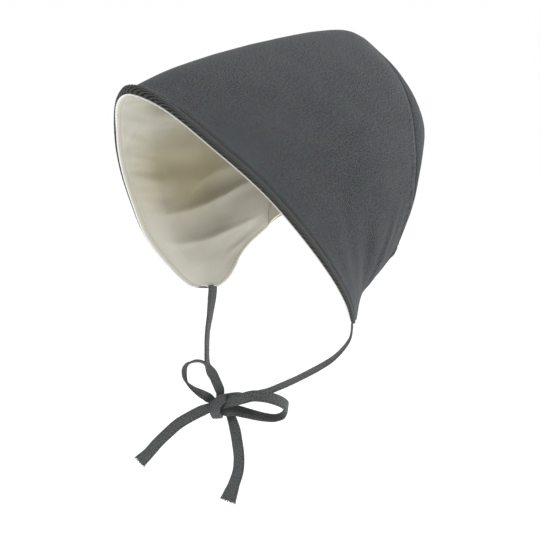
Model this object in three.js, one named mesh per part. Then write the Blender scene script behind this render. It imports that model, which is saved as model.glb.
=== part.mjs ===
// A baby's sunbonnet: two outer panels of twill, two lining panels inside them, and two flat ties in a bow.
// Millimetres. X points to the wearer's left, Y to the back of the head and Z up, as the bonnet hangs.
// The origin is the head seat, on the inside of the lining at the top of the crown.
import * as THREE from "three";
import { mergeVertices } from "three/addons/utils/BufferGeometryUtils.js";

// Driving dimensions: the front edge, from the peak over the forehead down to the tips of the two ear flaps.
const PEAK_REACH = 129; // head seat forward to the peak
const PEAK_DROP = 20; // head seat down to the peak
const OPENING_WIDTH = 146.5; // widest distance across the front edge
const FLAP_REACH = 24; // head seat forward to the flap tips
const FLAP_DROP = 146.5; // head seat down to the flap tips
const FLAP_CURL = 5.5; // most the neck edge of a flap curls in towards the neck

// The crown, the back seam that runs round the back panel like a horseshoe, and the nape.
const CROWN_RISE = 10.7; // most the crown line stands over the straight line from peak to seam
const SIDE_SWELL = 6; // most the main panel swells out between the front edge and the seam
const SEAM_TOP_BACK = 45; // head seat back to the top of the seam
const SEAM_TOP_DROP = 3; // head seat down to the top of the seam
const SEAM_WIDTH = 113.6; // widest distance across the seam
const SEAM_FOOT_BACK = 17.5; // head seat back to the lower ends of the seam
const SEAM_FOOT_DROP = 115.5; // head seat down to the lower ends of the seam
const BACK_DOME = 32.5; // most the back panel stands out behind its seam
const NAPE_RISE = 18; // the middle of the nape edge over the feet of the seam
const NAPE_ARCH = 1.4; // shape of the nape's arch: at 1 it leaves the seam steeply, at 2 level

// The cloth.
const OUTER_CLOTH = 1.1; // wall of twill
const LINING_CLOTH = 1; // wall of lining
const CLOTH_GAP = 0.3; // clearance between two pieces
const HEM_WIDTH = 6; // turned edge, up to its row of stitches
const HEM_SWELL = 0.5; // extra thickness of the turned edge
const PEAK_ROLL = 2; // further thickness of the turned edge at the peak, where it gathers round the bend
const PEAK_ROLL_WIDTH = 20; // how far that reaches to each side of the peak
const LINING_SLACK = 4.5; // how far the lining hangs clear of the outer panels away from its edges

// The ties, and the knot of their bow as an offset from the tip of the right flap.
const TIE_WIDTH = 6.6;
const TIE_CLOTH = 1.2; // thickness of a tie
const TIE_SEAT = 0.035; // where a tie is sewn in, as a share of the neck edge behind the flap tip
const TIE_SEAT_DROP = 0.6; // clearance between the edge of a flap and its tie
const KNOT_INWARD = 15;
const KNOT_FORWARD = 5.5;
const KNOT_DROP = 65;
const BOW_TURN = 40; // degrees that the bow is turned from facing forward to the wearer's left

// How finely the panels are divided.
const ROWS_PER_SIDE = 22;
const MAIN_COLUMNS = 15;
const BACK_COLUMNS = 14;
const TIE_STEPS = 78;

// Right half of the front edge, from the peak to the flap tip.
// out is a share of half the opening width, back and down are shares of the way from the peak to the tip.
const FRONT_EDGE = [
  { out: 0, back: 0, down: 0 },
  { out: 0.235, back: 0.05, down: 0.045 },
  { out: 0.548, back: 0.21, down: 0.22 },
  { out: 0.778, back: 0.375, down: 0.394 },
  { out: 0.914, back: 0.524, down: 0.565 },
  { out: 0.997, back: 0.665, down: 0.731 },
  { out: 0.978, back: 0.803, down: 0.874 },
  { out: 0.878, back: 0.929, down: 0.991 },
  { out: 0.781, back: 1, down: 1 },
];

// One half of the back seam, from the crown down to the nape.
// out is a share of half the seam's width, down is a share of the way from the top of the seam to its foot.
const BACK_SEAM = [
  { out: 0, down: 0 },
  { out: 0.26, down: 0.06 },
  { out: 0.5, down: 0.145 },
  { out: 0.75, down: 0.29 },
  { out: 0.91, down: 0.48 },
  { out: 0.99, down: 0.67 },
  { out: 1, down: 0.76 },
  { out: 0.957, down: 0.885 },
  { out: 0.887, down: 1 },
];

// Height of the crown line over the straight line from peak to seam, as shares of the crown's rise.
const CROWN_LINE = [
  { along: 0, rise: 0 },
  { along: 0.19, rise: 0.62 },
  { along: 0.44, rise: 0.94 },
  { along: 0.7, rise: 1 },
  { along: 0.86, rise: 0.88 },
  { along: 0.94, rise: 0.57 },
  { along: 1, rise: 0 },
];

// Neck edge of a flap, from its tip to the foot of the seam. back and up are shares of the way between them,
// and curl is a share of the most that the edge curls in towards the neck.
const NECK_EDGE = [
  { along: 0, curl: 0, back: 0, up: 0 },
  { along: 0.13, curl: 0.52, back: 0.14, up: 0.03 },
  { along: 0.25, curl: 0.92, back: 0.25, up: 0.17 },
  { along: 0.385, curl: 1, back: 0.345, up: 0.345 },
  { along: 0.52, curl: 0.55, back: 0.47, up: 0.52 },
  { along: 0.66, curl: 0.25, back: 0.615, up: 0.675 },
  { along: 0.8, curl: 0.1, back: 0.775, up: 0.82 },
  { along: 1, curl: 0, back: 1, up: 1 },
];

// Standing out of the back panel's middle line behind the seam, as shares of the dome.
const BACK_PROFILE = [
  { down: 0, dome: 0 },
  { down: 0.12, dome: 0.33 },
  { down: 0.29, dome: 0.75 },
  { down: 0.44, dome: 1 },
  { down: 0.58, dome: 0.8 },
  { down: 0.72, dome: 0.48 },
  { down: 0.86, dome: 0.27 },
  { down: 1, dome: 0.16 },
];

// Soft folds of the lining. Each is a ridge that stands into the hollow, with a pocket on its upper side.
// side is -1 for the right. low runs from 0 on the crown line to 1 at the flap, and back from 0 at the front
// edge to 1 at the seam. bend, wide, ridge and pocket are millimetres.
const LINING_FOLDS = [
  { side: -1, from: [0.672, 0.13], to: [0.785, 0.9], bend: 4.5, wide: 9, ridge: 4.5, pocket: 4.5 },
  { side: -1, from: [0.8, 0.13], to: [0.975, 0.95], bend: 3, wide: 8, ridge: 3.5, pocket: 3 },
  { side: -1, from: [0.625, 0.2], to: [0.67, 0.8], bend: -5, wide: 8, ridge: 3, pocket: 3.5 },
  { side: -1, from: [0.4, 0.12], to: [0.46, 0.62], bend: 0, wide: 12, ridge: 3, pocket: 3.5 },
  { side: -1, from: [0.215, 0.08], to: [0.3, 0.42], bend: 0, wide: 9, ridge: 3, pocket: 3.5 },
  { side: -1, from: [0.24, 0.11], to: [0.6, 0.13], bend: 0, wide: 7, ridge: 1, pocket: 3 },
  { side: 1, from: [0.7, 0.14], to: [0.77, 0.85], bend: 3, wide: 10, ridge: 4, pocket: 4 },
  { side: 1, from: [0.42, 0.14], to: [0.5, 0.7], bend: 0, wide: 12, ridge: 3, pocket: 3.5 },
];

// The two straps, from the flap tips to the knot: along is a share of the straight way, aside, sag and behind
// are millimetres off it to the left, down and away, and wide is the way that the band's width points.
const RIGHT_STRAP = [
  { along: 0, aside: 0, sag: 0, behind: 0, wide: [-0.64, 0, 0.77] },
  { along: 0.1, aside: 0.6, sag: 0, behind: 0, wide: [-0.62, 0, 0.78] },
  { along: 0.28, aside: 2, sag: 0, behind: 0, wide: [-0.4, 0, 0.9] },
  { along: 0.48, aside: 3.8, sag: 0, behind: 0, wide: [-0.1, 0, 1] },
  { along: 0.66, aside: 4.4, sag: 0, behind: 0, wide: [0.1, 0, 1] },
  { along: 0.8, aside: 4.4, sag: 0, behind: 0, wide: [0.4, 0.1, 0.9] },
  { along: 0.92, aside: 3, sag: 0, behind: 0, wide: [0.7, 0.2, 0.6] },
];
const LEFT_STRAP = [
  { along: 0, aside: 0, sag: 0, behind: 0, wide: [-0.02, 0, -1] },
  { along: 0.01, aside: -0.5, sag: 4.4, behind: 0, wide: [-0.02, 0, -1] },
  { along: 0.03, aside: -0.9, sag: 8.2, behind: 0, wide: [-0.02, 0, -1] },
  { along: 0.08, aside: -0.9, sag: 11.2, behind: 0, wide: [0, 0.1, -0.98] },
  { along: 0.16, aside: -0.5, sag: 13.4, behind: 0, wide: [0, 0.18, -0.96] },
  { along: 0.27, aside: 0, sag: 14, behind: 2, wide: [0, 0.2, -0.96] },
  { along: 0.4, aside: 0, sag: 13.4, behind: 5, wide: [0, 0.2, -0.96] },
  { along: 0.54, aside: 0, sag: 12.6, behind: 9, wide: [0.05, 0.25, -0.95] },
  { along: 0.68, aside: 0, sag: 11, behind: 12, wide: [0.1, 0.35, -0.93] },
  { along: 0.82, aside: 0, sag: 7.8, behind: 10, wide: [0.2, 0.5, -0.85] },
];

// The bow, in millimetres right, up and near from the middle of the knot, as seen from in front of the bow.
// gather is the share of its width that the band keeps where the knot squeezes it.
const RIGHT_BOW = [
  { right: -4.5, up: 13, near: -3.2, gather: 0.85, wide: [0.9, 0.25, 0.2] },
  { right: -1.2, up: 8, near: -3.6, gather: 0.5, wide: [0.9, 0.1, 0.2] },
  { right: 4, up: 3, near: -2.4, gather: 0.4, wide: [0.8, 0, 0.6] },
  { right: 8, up: -0.5, near: 0, gather: 0.5, wide: [0.3, 0.7, 0.6] },
  { right: 12, up: -4, near: -1, gather: 0.8, wide: [0, 0.7, -0.7] },
  { right: 20, up: -8.6, near: -5.2, gather: 1, wide: [-0.05, 0.55, -0.83] },
  { right: 27.5, up: -10.8, near: -8.4, gather: 1, wide: [-0.1, 0.5, -0.86] },
  { right: 33.5, up: -9.4, near: -8.4, gather: 1, wide: [-0.1, 0.65, -0.75] },
  { right: 38, up: -4, near: -4.2, gather: 1, wide: [0.1, 0.85, -0.5] },
  { right: 37.5, up: 1.5, near: 2, gather: 1, wide: [0.1, 0.85, -0.5] },
  { right: 32, up: 6, near: 6.4, gather: 1, wide: [0.1, 0.85, -0.4] },
  { right: 25, up: 7.5, near: 7.8, gather: 1, wide: [0.05, 0.9, -0.35] },
  { right: 17.5, up: 7, near: 7.4, gather: 1, wide: [-0.15, 1, -0.2] },
  { right: 10, up: 4.5, near: 6.4, gather: 0.95, wide: [-0.2, 1, 0] },
  { right: 3.5, up: 2.5, near: 5.2, gather: 0.75, wide: [-0.25, 1, 0] },
  { right: -1.5, up: 0.5, near: 4.6, gather: 0.65, wide: [-0.3, 1, 0] },
  { right: -7, up: -1.5, near: 3.8, gather: 0.8, wide: [-0.35, 1, 0] },
  { right: -12.5, up: -4, near: 3.2, gather: 1, wide: [-0.4, 1, 0] },
  { right: -20, up: -8, near: 3.6, gather: 1, wide: [-0.5, 1, 0] },
  { right: -27, up: -12.5, near: 4.2, gather: 1, wide: [-0.6, 1, 0] },
  { right: -33, up: -18, near: 4.8, gather: 1, wide: [-0.7, 1, 0.1] },
  { right: -39, up: -24, near: 5.2, gather: 1, wide: [-0.8, 1, 0.1] },
  { right: -44, up: -30, near: 5.2, gather: 1, wide: [-0.85, 1, 0.1] },
  { right: -49.5, up: -35.5, near: 5.2, gather: 1.1, wide: [-0.9, 1, 0.1] },
];
const LEFT_BOW = [
  { right: 11.5, up: 2, near: -5.6, gather: 0.8, wide: [0.3, 1, 0] },
  { right: 8.5, up: 3.2, near: -4.2, gather: 0.55, wide: [0.5, 0.8, 0.3] },
  { right: 6.6, up: 5.6, near: -0.8, gather: 0.5, wide: [0.8, 0.5, 0.4] },
  { right: 2.8, up: 6.8, near: 4.2, gather: 0.7, wide: [0.6, 0.8, -0.1] },
  { right: -1.5, up: 5.8, near: 7.2, gather: 0.85, wide: [0.75, 0.65, 0] },
  { right: -4, up: 2.5, near: 8, gather: 0.9, wide: [1, 0.25, 0] },
  { right: -4.5, up: -2, near: 7.4, gather: 0.85, wide: [1, -0.1, 0] },
  { right: -3.5, up: -6.5, near: 4.2, gather: 0.75, wide: [1, -0.2, 0.2] },
  { right: -3, up: -7.5, near: -1.6, gather: 0.6, wide: [1, 0, 0.2] },
  { right: -4, up: -4, near: -4.8, gather: 0.5, wide: [0.8, -0.6, 0] },
  { right: -7.5, up: 0, near: -4.4, gather: 0.7, wide: [0.6, -0.8, 0] },
  { right: -11.5, up: 3, near: -3.2, gather: 1, wide: [0.4, -0.75, 0.5] },
  { right: -17.8, up: 7.2, near: -1.6, gather: 1, wide: [0.3, -0.5, 0.8] },
  { right: -22.2, up: 12.4, near: 0.6, gather: 1, wide: [0.1, -0.2, 0.95] },
  { right: -23, up: 19, near: 2, gather: 1, wide: [0, -0.1, 1] },
  { right: -20.5, up: 24, near: 3.2, gather: 1, wide: [0, 0.1, 1] },
  { right: -15, up: 26, near: 3.4, gather: 1, wide: [0, 0.2, 1] },
  { right: -10.5, up: 24.5, near: 3, gather: 1, wide: [0.2, 0.3, 0.9] },
  { right: -7, up: 20, near: 2.4, gather: 1, wide: [0.6, 0.3, 0.7] },
  { right: -4, up: 14, near: 2, gather: 0.9, wide: [0.9, 0.3, 0.3] },
  { right: -2.5, up: 8.5, near: 1.6, gather: 0.6, wide: [1, 0.3, 0] },
  { right: -1.5, up: 3, near: 0.8, gather: 0.45, wide: [1, 0.25, 0] },
  { right: 0.5, up: -2, near: -2, gather: 0.5, wide: [1, 0.25, 0] },
  { right: 3, up: -7.5, near: -3.2, gather: 0.8, wide: [1, 0.25, 0] },
  { right: 6, up: -16.5, near: -2, gather: 1, wide: [1, 0.15, 0] },
  { right: 7.5, up: -24.5, near: -1, gather: 1, wide: [1, 0.05, 0] },
  { right: 8.5, up: -33, near: -0.6, gather: 1, wide: [1, 0, 0] },
  { right: 8, up: -41.5, near: 0, gather: 1, wide: [1, -0.05, 0] },
  { right: 6.5, up: -49, near: 0, gather: 1.05, wide: [1, -0.2, 0] },
  { right: 3.5, up: -60, near: 0, gather: 1.15, wide: [1, -0.3, 0] },
];

const TWILL = { color: 0x4a4d4f, roughness: 0.9, metalness: 0 };
const SATEEN = { color: 0xdcd8cb, roughness: 0.75, metalness: 0 };

// Value of a column at a share of the way down its table, on a smooth curve through its rows.
function smoothColumn(table, key, column) {
  const slope = (k) => {
    const before = table[Math.max(0, k - 1)];
    const after = table[Math.min(table.length - 1, k + 1)];
    return (after[column] - before[column]) / (after[key] - before[key]);
  };
  return (share) => {
    let k = 0;
    while (k < table.length - 2 && share > table[k + 1][key]) k += 1;
    const span = table[k + 1][key] - table[k][key];
    const t = (share - table[k][key]) / span;
    const rise = table[k + 1][column] - table[k][column];
    const start = slope(k) * span;
    const end = slope(k + 1) * span;
    return table[k][column] + t * (start + t * (3 * rise - 2 * start - end + t * (start + end - 2 * rise)));
  };
}

// A smooth curve through one half's points and their mirror images, from the right side to the left.
function mirroredCurve(halfPoints) {
  const left = halfPoints.slice(1);
  const right = left.map((p) => new THREE.Vector3(-p.x, p.y, p.z)).reverse();
  const curve = new THREE.CatmullRomCurve3([...right, halfPoints[0], ...left], false, "centripetal");
  curve.arcLengthDivisions = 800;
  return curve;
}

const halfOpening = OPENING_WIDTH / 2;
const frontEdge = mirroredCurve(
  FRONT_EDGE.map(
    ({ out, back, down }) =>
      new THREE.Vector3(
        out * halfOpening,
        -PEAK_REACH + back * (PEAK_REACH - FLAP_REACH),
        -PEAK_DROP - down * (FLAP_DROP - PEAK_DROP),
      ),
  ),
);
const backSeam = mirroredCurve(
  BACK_SEAM.map(
    ({ out, down }) =>
      new THREE.Vector3(
        (out * SEAM_WIDTH) / 2,
        SEAM_TOP_BACK - down * (SEAM_TOP_BACK - SEAM_FOOT_BACK),
        -SEAM_TOP_DROP - down * (SEAM_FOOT_DROP - SEAM_TOP_DROP),
      ),
  ),
);
const crownRise = smoothColumn(CROWN_LINE, "along", "rise");
const backDome = smoothColumn(BACK_PROFILE, "down", "dome");
const neckOffset = {
  curl: smoothColumn(NECK_EDGE, "along", "curl"),
  back: smoothColumn(NECK_EDGE, "along", "back"),
  up: smoothColumn(NECK_EDGE, "along", "up"),
};

// The outside of the main panel: across from -1 at the right flap to 1 at the left, back from 0 to 1.
function mainSurface(across, back) {
  const share = (1 + across) / 2;
  const point = frontEdge.getPointAt(share).lerp(backSeam.getPointAt(share), back);
  const crown = Math.cos((across * Math.PI) / 2) ** 2;
  const neck = Math.sign(across) * (1 - crown);
  const swell = SIDE_SWELL * Math.sin(back * Math.PI) * Math.sin(across * Math.PI) ** 2;
  point.x += Math.sign(across) * swell - neck * FLAP_CURL * neckOffset.curl(back);
  point.y += Math.abs(neck) * (neckOffset.back(back) - back) * (FLAP_REACH + SEAM_FOOT_BACK);
  point.z += Math.abs(neck) * (neckOffset.up(back) - back) * (FLAP_DROP - SEAM_FOOT_DROP);
  point.z += crown * CROWN_RISE * crownRise(back);
  return point;
}

// The outside of the back panel: down from 0 at the crown to 1 at the nape, across from -1 to 1.
function backSurface(down, across) {
  const seam = backSeam.getPointAt((1 + down) / 2);
  const turn = (across * Math.PI) / 2;
  const height = (-seam.z - SEAM_TOP_DROP) / (SEAM_FOOT_DROP - SEAM_TOP_DROP);
  return new THREE.Vector3(
    seam.x * Math.sin(turn),
    seam.y + BACK_DOME * backDome(Math.min(1, height)) * Math.cos(turn),
    seam.z + NAPE_RISE * height ** 2 * Math.max(0, Math.cos(turn)) ** NAPE_ARCH,
  );
}

// Shares from 0 to 1 with a turned edge of three stations at one end or both, and even steps between.
function stations(steps, startEdge, endEdge) {
  const list = startEdge > 0 ? [0, startEdge / 2] : [];
  const tail = endEdge > 0 ? [1 - endEdge / 2, 1] : [];
  const inner = steps - list.length - tail.length;
  for (let k = 0; k <= inner; k += 1) list.push(startEdge + ((1 - startEdge - endEdge) * k) / inner);
  return [...list, ...tail];
}

const HEM_SHARE = HEM_WIDTH / OPENING_WIDTH;
const halfEdge = frontEdge.getLength() / 2;
const EDGE_FADE = 4; // the lining hangs clear from this many widths of the turned edge inwards
const FOLD_SPREAD = 0.6; // a ridge and its pocket lie this share of their width off the line of the fold
const FOLD_END = 0.12; // how far a fold has faded at its two ends, as a share of half a wave

// How far the lining hangs clear of the outer panel at a spot of the main panel.
function liningSlack({ across, back, length }) {
  let slack = LINING_SLACK;
  for (const fold of LINING_FOLDS) {
    const scale = new THREE.Vector2(halfEdge, length);
    const start = new THREE.Vector2(...fold.from).multiply(scale);
    const run = new THREE.Vector2(...fold.to).multiply(scale).sub(start);
    const way = new THREE.Vector2(across * fold.side, back).multiply(scale).sub(start);
    const along = way.dot(run) / run.lengthSq();
    const inside = THREE.MathUtils.clamp(along, 0, 1);
    const past = ((along - inside) * run.length()) / fold.wide;
    const below = way.cross(run) / run.length() - fold.bend * Math.sin(Math.PI * inside);
    const bump = (offset) => Math.exp(-(((below - offset) / fold.wide) ** 2));
    const strength = Math.exp(-past * past) * Math.sin(Math.PI * (FOLD_END + (1 - 2 * FOLD_END) * inside));
    const apart = FOLD_SPREAD * fold.wide;
    slack += strength * (fold.ridge * bump(apart) - fold.pocket * bump(-apart));
  }
  return Math.max(0, slack) * edgeFade(across, back);
}

// 0 on the edges of the main panel, where the two cloths are sewn together, rising to 1 inside.
function edgeFade(across, back) {
  const inward = Math.min(back, 1 - back, 1 - Math.abs(across));
  return THREE.MathUtils.smoothstep(inward, HEM_SHARE, EDGE_FADE * HEM_SHARE);
}

// The outside faces as grids of points, which run round the outside the same way. edge is how far a spot is
// from the free edge, in widths of the turned edge. The two panels share the seam's points and normals.
const halfRows = stations(ROWS_PER_SIDE, 0, HEM_SHARE);
const mainRows = [...halfRows.slice(1).reverse().map((share) => -share), ...halfRows];
const mainGrid = mainRows.map((across) => {
  const length = mainSurface(across, 0).distanceTo(mainSurface(across, 1));
  return stations(MAIN_COLUMNS, HEM_WIDTH / length, 0).map((back) => ({
    across,
    back,
    length,
    at: mainSurface(across, back),
    edge: Math.min((back * length) / HEM_WIDTH, (1 - Math.abs(across)) / HEM_SHARE),
  }));
});
const backGrid = halfRows.map((down) =>
  Array.from({ length: BACK_COLUMNS + 1 }, (_, k) => ({
    at: backSurface(down, 1 - (2 * k) / BACK_COLUMNS),
    edge: (1 - down) / HEM_SHARE,
  })),
);

// Adds to each spot the sum of the normals of the faces around it.
function addNormals(grid) {
  for (const spot of grid.flat()) spot.normal = new THREE.Vector3();
  for (let i = 0; i < grid.length - 1; i += 1) {
    for (let j = 0; j < grid[i].length - 1; j += 1) {
      const corners = [grid[i][j], grid[i + 1][j], grid[i + 1][j + 1], grid[i][j + 1]];
      const first = corners[2].at.clone().sub(corners[0].at);
      const second = corners[3].at.clone().sub(corners[1].at);
      const normal = first.cross(second);
      for (const corner of corners) corner.normal.add(normal);
    }
  }
}
addNormals(mainGrid);
addNormals(backGrid);
const crownTop = mainGrid[ROWS_PER_SIDE].at(-1);
for (const spot of backGrid[0]) crownTop.normal.add(spot.normal);
for (const spot of backGrid[0]) spot.normal.copy(crownTop.normal);
for (let k = 1; k <= ROWS_PER_SIDE; k += 1) {
  for (const side of [-1, 1]) {
    const onMain = mainGrid[ROWS_PER_SIDE + side * k].at(-1);
    const onBack = side > 0 ? backGrid[k][0] : backGrid[k].at(-1);
    onMain.normal.add(onBack.normal);
    onBack.normal.copy(onMain.normal);
  }
}
for (const spot of [...mainGrid.flat(), ...backGrid.flat()]) spot.inward = spot.normal.normalize().negate();

// How far the turned edge swells at a spot, and the roll that it makes outside at the peak.
function hemSwell(spot) {
  return spot.edge < 1 ? HEM_SWELL * Math.sin(Math.PI * spot.edge) : 0;
}
function peakRoll(spot) {
  const aside = (spot.across * halfEdge) / PEAK_ROLL_WIDTH;
  return (hemSwell(spot) / HEM_SWELL) * PEAK_ROLL * Math.exp(-aside * aside);
}

// One closed wall of cloth between two depths under a grid's outside face, moved by shift.
function clothWall(grid, topDepth, underDepth, shift) {
  const rows = grid.length;
  const columns = grid[0].length;
  const faces = [topDepth, underDepth].map((depth) => {
    const moved = (spot) => spot.at.clone().addScaledVector(spot.inward, depth(spot)).add(shift);
    return grid.map((row) => row.map(moved));
  });
  const positions = faces.flat(2).flatMap((p) => [p.x, p.y, p.z]);
  const top = (i, j) => i * columns + j;
  const under = (i, j) => (rows + i) * columns + j;
  const index = [];
  const quad = (a, b, c, d) => index.push(a, b, c, a, c, d);
  for (let i = 0; i < rows - 1; i += 1) {
    for (let j = 0; j < columns - 1; j += 1) {
      quad(top(i, j), top(i + 1, j), top(i + 1, j + 1), top(i, j + 1));
      quad(under(i, j), under(i, j + 1), under(i + 1, j + 1), under(i + 1, j));
    }
  }
  const lastRow = rows - 1;
  const lastColumn = columns - 1;
  for (let i = 0; i < lastRow; i += 1) {
    quad(top(i + 1, 0), top(i, 0), under(i, 0), under(i + 1, 0));
    quad(top(i, lastColumn), top(i + 1, lastColumn), under(i + 1, lastColumn), under(i, lastColumn));
  }
  for (let j = 0; j < lastColumn; j += 1) {
    quad(top(0, j), top(0, j + 1), under(0, j + 1), under(0, j));
    quad(top(lastRow, j + 1), top(lastRow, j), under(lastRow, j), under(lastRow, j + 1));
  }
  const geometry = new THREE.BufferGeometry();
  geometry.setAttribute("position", new THREE.Float32BufferAttribute(positions, 3));
  geometry.setIndex(index);
  return withoutSlivers(mergeVertices(geometry, 1e-3));
}

// Drops the triangles that have shrunk to a line, as at the top of the back panel.
function withoutSlivers(geometry) {
  const index = geometry.index.array;
  const kept = [];
  for (let k = 0; k < index.length; k += 3) {
    const [a, b, c] = index.slice(k, k + 3);
    if (a !== b && b !== c && c !== a) kept.push(a, b, c);
  }
  geometry.setIndex(kept);
  geometry.computeVertexNormals();
  return geometry;
}

// A flat band along chosen points, whose frames follow the way that its width points at each of them.
class BandCurve extends THREE.CatmullRomCurve3 {
  constructor(rows) {
    super(rows.map((row) => row.at), false, "centripetal");
    this.widths = rows.map((row) => row.wide.clone().normalize());
    for (let k = 1; k < rows.length; k += 1) {
      if (this.widths[k].dot(this.widths[k - 1]) < 0) this.widths[k].negate();
    }
    this.gathers = rows.map((row) => row.gather);
  }

  getSpacedPoints(steps) {
    return this.getPoints(steps);
  }

  computeFrenetFrames(steps) {
    const frames = { tangents: [], normals: [], binormals: [] };
    for (let k = 0; k <= steps; k += 1) {
      const place = (k / steps) * (this.widths.length - 1);
      const row = Math.min(Math.floor(place), this.widths.length - 2);
      const tangent = this.getTangent(k / steps);
      const wide = this.widths[row].clone().lerp(this.widths[row + 1], place - row);
      wide.addScaledVector(tangent, -wide.dot(tangent)).normalize();
      const gather = THREE.MathUtils.lerp(this.gathers[row], this.gathers[row + 1], place - row);
      frames.tangents.push(tangent);
      frames.normals.push(wide.clone().multiplyScalar(gather));
      frames.binormals.push(tangent.clone().cross(wide));
    }
    return frames;
  }
}

const bowAngle = THREE.MathUtils.degToRad(BOW_TURN);
const bowRight = new THREE.Vector3(Math.cos(bowAngle), Math.sin(bowAngle), 0);
const bowUp = new THREE.Vector3(0, 0, 1);
const bowNear = new THREE.Vector3(Math.sin(bowAngle), -Math.cos(bowAngle), 0);
const inBow = (right, up, near) =>
  new THREE.Vector3()
    .addScaledVector(bowRight, right)
    .addScaledVector(bowUp, up)
    .addScaledVector(bowNear, near);

// The place in the edge of a flap where its tie is sewn in: just behind the tip, under the walls of cloth.
function tieSeat(side) {
  const seat = mainSurface(side, TIE_SEAT);
  seat.x -= side * (OUTER_CLOTH + CLOTH_GAP / 2);
  seat.z -= TIE_SEAT_DROP;
  return seat;
}
const knot = tieSeat(-1).add(new THREE.Vector3(KNOT_INWARD, -KNOT_FORWARD, -KNOT_DROP));

// One tie: its strap from the flap to the knot, then its share of the bow and its tail.
function tieBand(side, strap, bow) {
  const bowRows = bow.map((row) => ({
    at: inBow(row.right, row.up, row.near).add(knot),
    wide: inBow(...row.wide),
    gather: row.gather,
  }));
  const start = tieSeat(side);
  const strapRows = strap.map((row) => ({
    at: start.clone().lerp(bowRows[0].at, row.along).add(inBow(-row.aside, -row.sag, -row.behind)),
    wide: inBow(...row.wide),
    gather: 1,
  }));
  const section = new THREE.Shape(
    [
      [0.5, -0.25],
      [0.5, 0.25],
      [0.44, 0.5],
      [-0.44, 0.5],
      [-0.5, 0.25],
      [-0.5, -0.25],
      [-0.44, -0.5],
      [0.44, -0.5],
    ].map(([width, cloth]) => new THREE.Vector2(width * TIE_WIDTH, cloth * TIE_CLOTH)),
  );
  return new THREE.ExtrudeGeometry(section, {
    steps: TIE_STEPS,
    extrudePath: new BandCurve([...strapRows, ...bowRows]),
    bevelEnabled: false,
  });
}

function piece(name, geometry, look) {
  const mesh = new THREE.Mesh(geometry, new THREE.MeshStandardMaterial(look));
  mesh.name = name;
  return mesh;
}

// The walls, from the outside in: twill, clearance, lining. The back panels stand off the seam by the gap.
const seamLean = new THREE.Vector3(0, SEAM_FOOT_DROP - SEAM_TOP_DROP, SEAM_FOOT_BACK - SEAM_TOP_BACK);
const offSeam = seamLean.setLength(CLOTH_GAP);
const inPlace = new THREE.Vector3();
const liningTop = OUTER_CLOTH + CLOTH_GAP;
const liningUnder = liningTop + LINING_CLOTH;
const mainSkin = (spot) => -hemSwell(spot) - peakRoll(spot);
const backSkin = (spot) => -hemSwell(spot);
const outerBack = () => OUTER_CLOTH;

// The head seat is the underside of the lining on the crown line, straight over the origin.
const seatPlace = PEAK_REACH / (PEAK_REACH + SEAM_TOP_BACK);
const bonnet = new THREE.Group();
bonnet.position.z = liningUnder - mainSurface(0, seatPlace).z;
bonnet.add(
  piece("outer_main", clothWall(mainGrid, mainSkin, outerBack, inPlace), TWILL),
  piece("outer_back", clothWall(backGrid, backSkin, outerBack, offSeam), TWILL),
  piece(
    "lining_main",
    clothWall(
      mainGrid,
      (spot) => liningTop + liningSlack(spot),
      (spot) => liningUnder + liningSlack(spot) + hemSwell(spot),
      inPlace,
    ),
    SATEEN,
  ),
  piece(
    "lining_back",
    clothWall(
      backGrid,
      () => liningTop,
      (spot) => liningUnder + hemSwell(spot),
      offSeam,
    ),
    SATEEN,
  ),
  piece("tie_right", tieBand(-1, RIGHT_STRAP, RIGHT_BOW), TWILL),
  piece("tie_left", tieBand(1, LEFT_STRAP, LEFT_BOW), TWILL),
);

export default bonnet;
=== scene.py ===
# A baby's sunbonnet: charcoal twill outside, cream sateen inside, and two flat ties in a bow.
import math

import bpy
import numpy as np
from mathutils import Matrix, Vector, noise


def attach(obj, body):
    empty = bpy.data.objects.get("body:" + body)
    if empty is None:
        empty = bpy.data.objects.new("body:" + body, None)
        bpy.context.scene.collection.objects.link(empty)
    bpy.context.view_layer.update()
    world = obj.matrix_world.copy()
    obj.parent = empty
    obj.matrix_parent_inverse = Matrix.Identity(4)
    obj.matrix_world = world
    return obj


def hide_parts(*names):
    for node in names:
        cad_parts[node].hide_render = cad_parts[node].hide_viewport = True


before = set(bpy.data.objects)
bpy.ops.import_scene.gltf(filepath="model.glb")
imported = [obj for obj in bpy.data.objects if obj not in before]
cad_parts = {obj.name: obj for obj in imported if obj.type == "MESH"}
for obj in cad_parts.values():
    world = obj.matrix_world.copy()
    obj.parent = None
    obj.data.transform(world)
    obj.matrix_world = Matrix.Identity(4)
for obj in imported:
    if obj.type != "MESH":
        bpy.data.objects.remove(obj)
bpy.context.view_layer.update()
MM = 0.001

# Camera. It stands at the photograph's angle, a little above the bonnet and to its left.
VIEW_TURN = math.radians(45)
VIEW_RISE = math.radians(12)
VIEW_DISTANCE = 900 * MM
VIEW_LENS, SENSOR_WIDTH = 108, 36
VIEW_CENTRE = Vector((0, -30, -127)) * MM
camera_data = bpy.data.cameras.new("camera")
camera_data.lens = VIEW_LENS
camera_data.sensor_width = SENSOR_WIDTH
camera = bpy.data.objects.new("camera", camera_data)
bpy.context.collection.objects.link(camera)
to_camera = Vector(
    (
        math.sin(VIEW_TURN) * math.cos(VIEW_RISE),
        -math.cos(VIEW_TURN) * math.cos(VIEW_RISE),
        math.sin(VIEW_RISE),
    )
)
camera.location = VIEW_CENTRE + to_camera * VIEW_DISTANCE
camera.rotation_mode = "QUATERNION"
camera.rotation_quaternion = (-to_camera).to_track_quat("-Z", "Y")
bpy.context.scene.camera = camera

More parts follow.
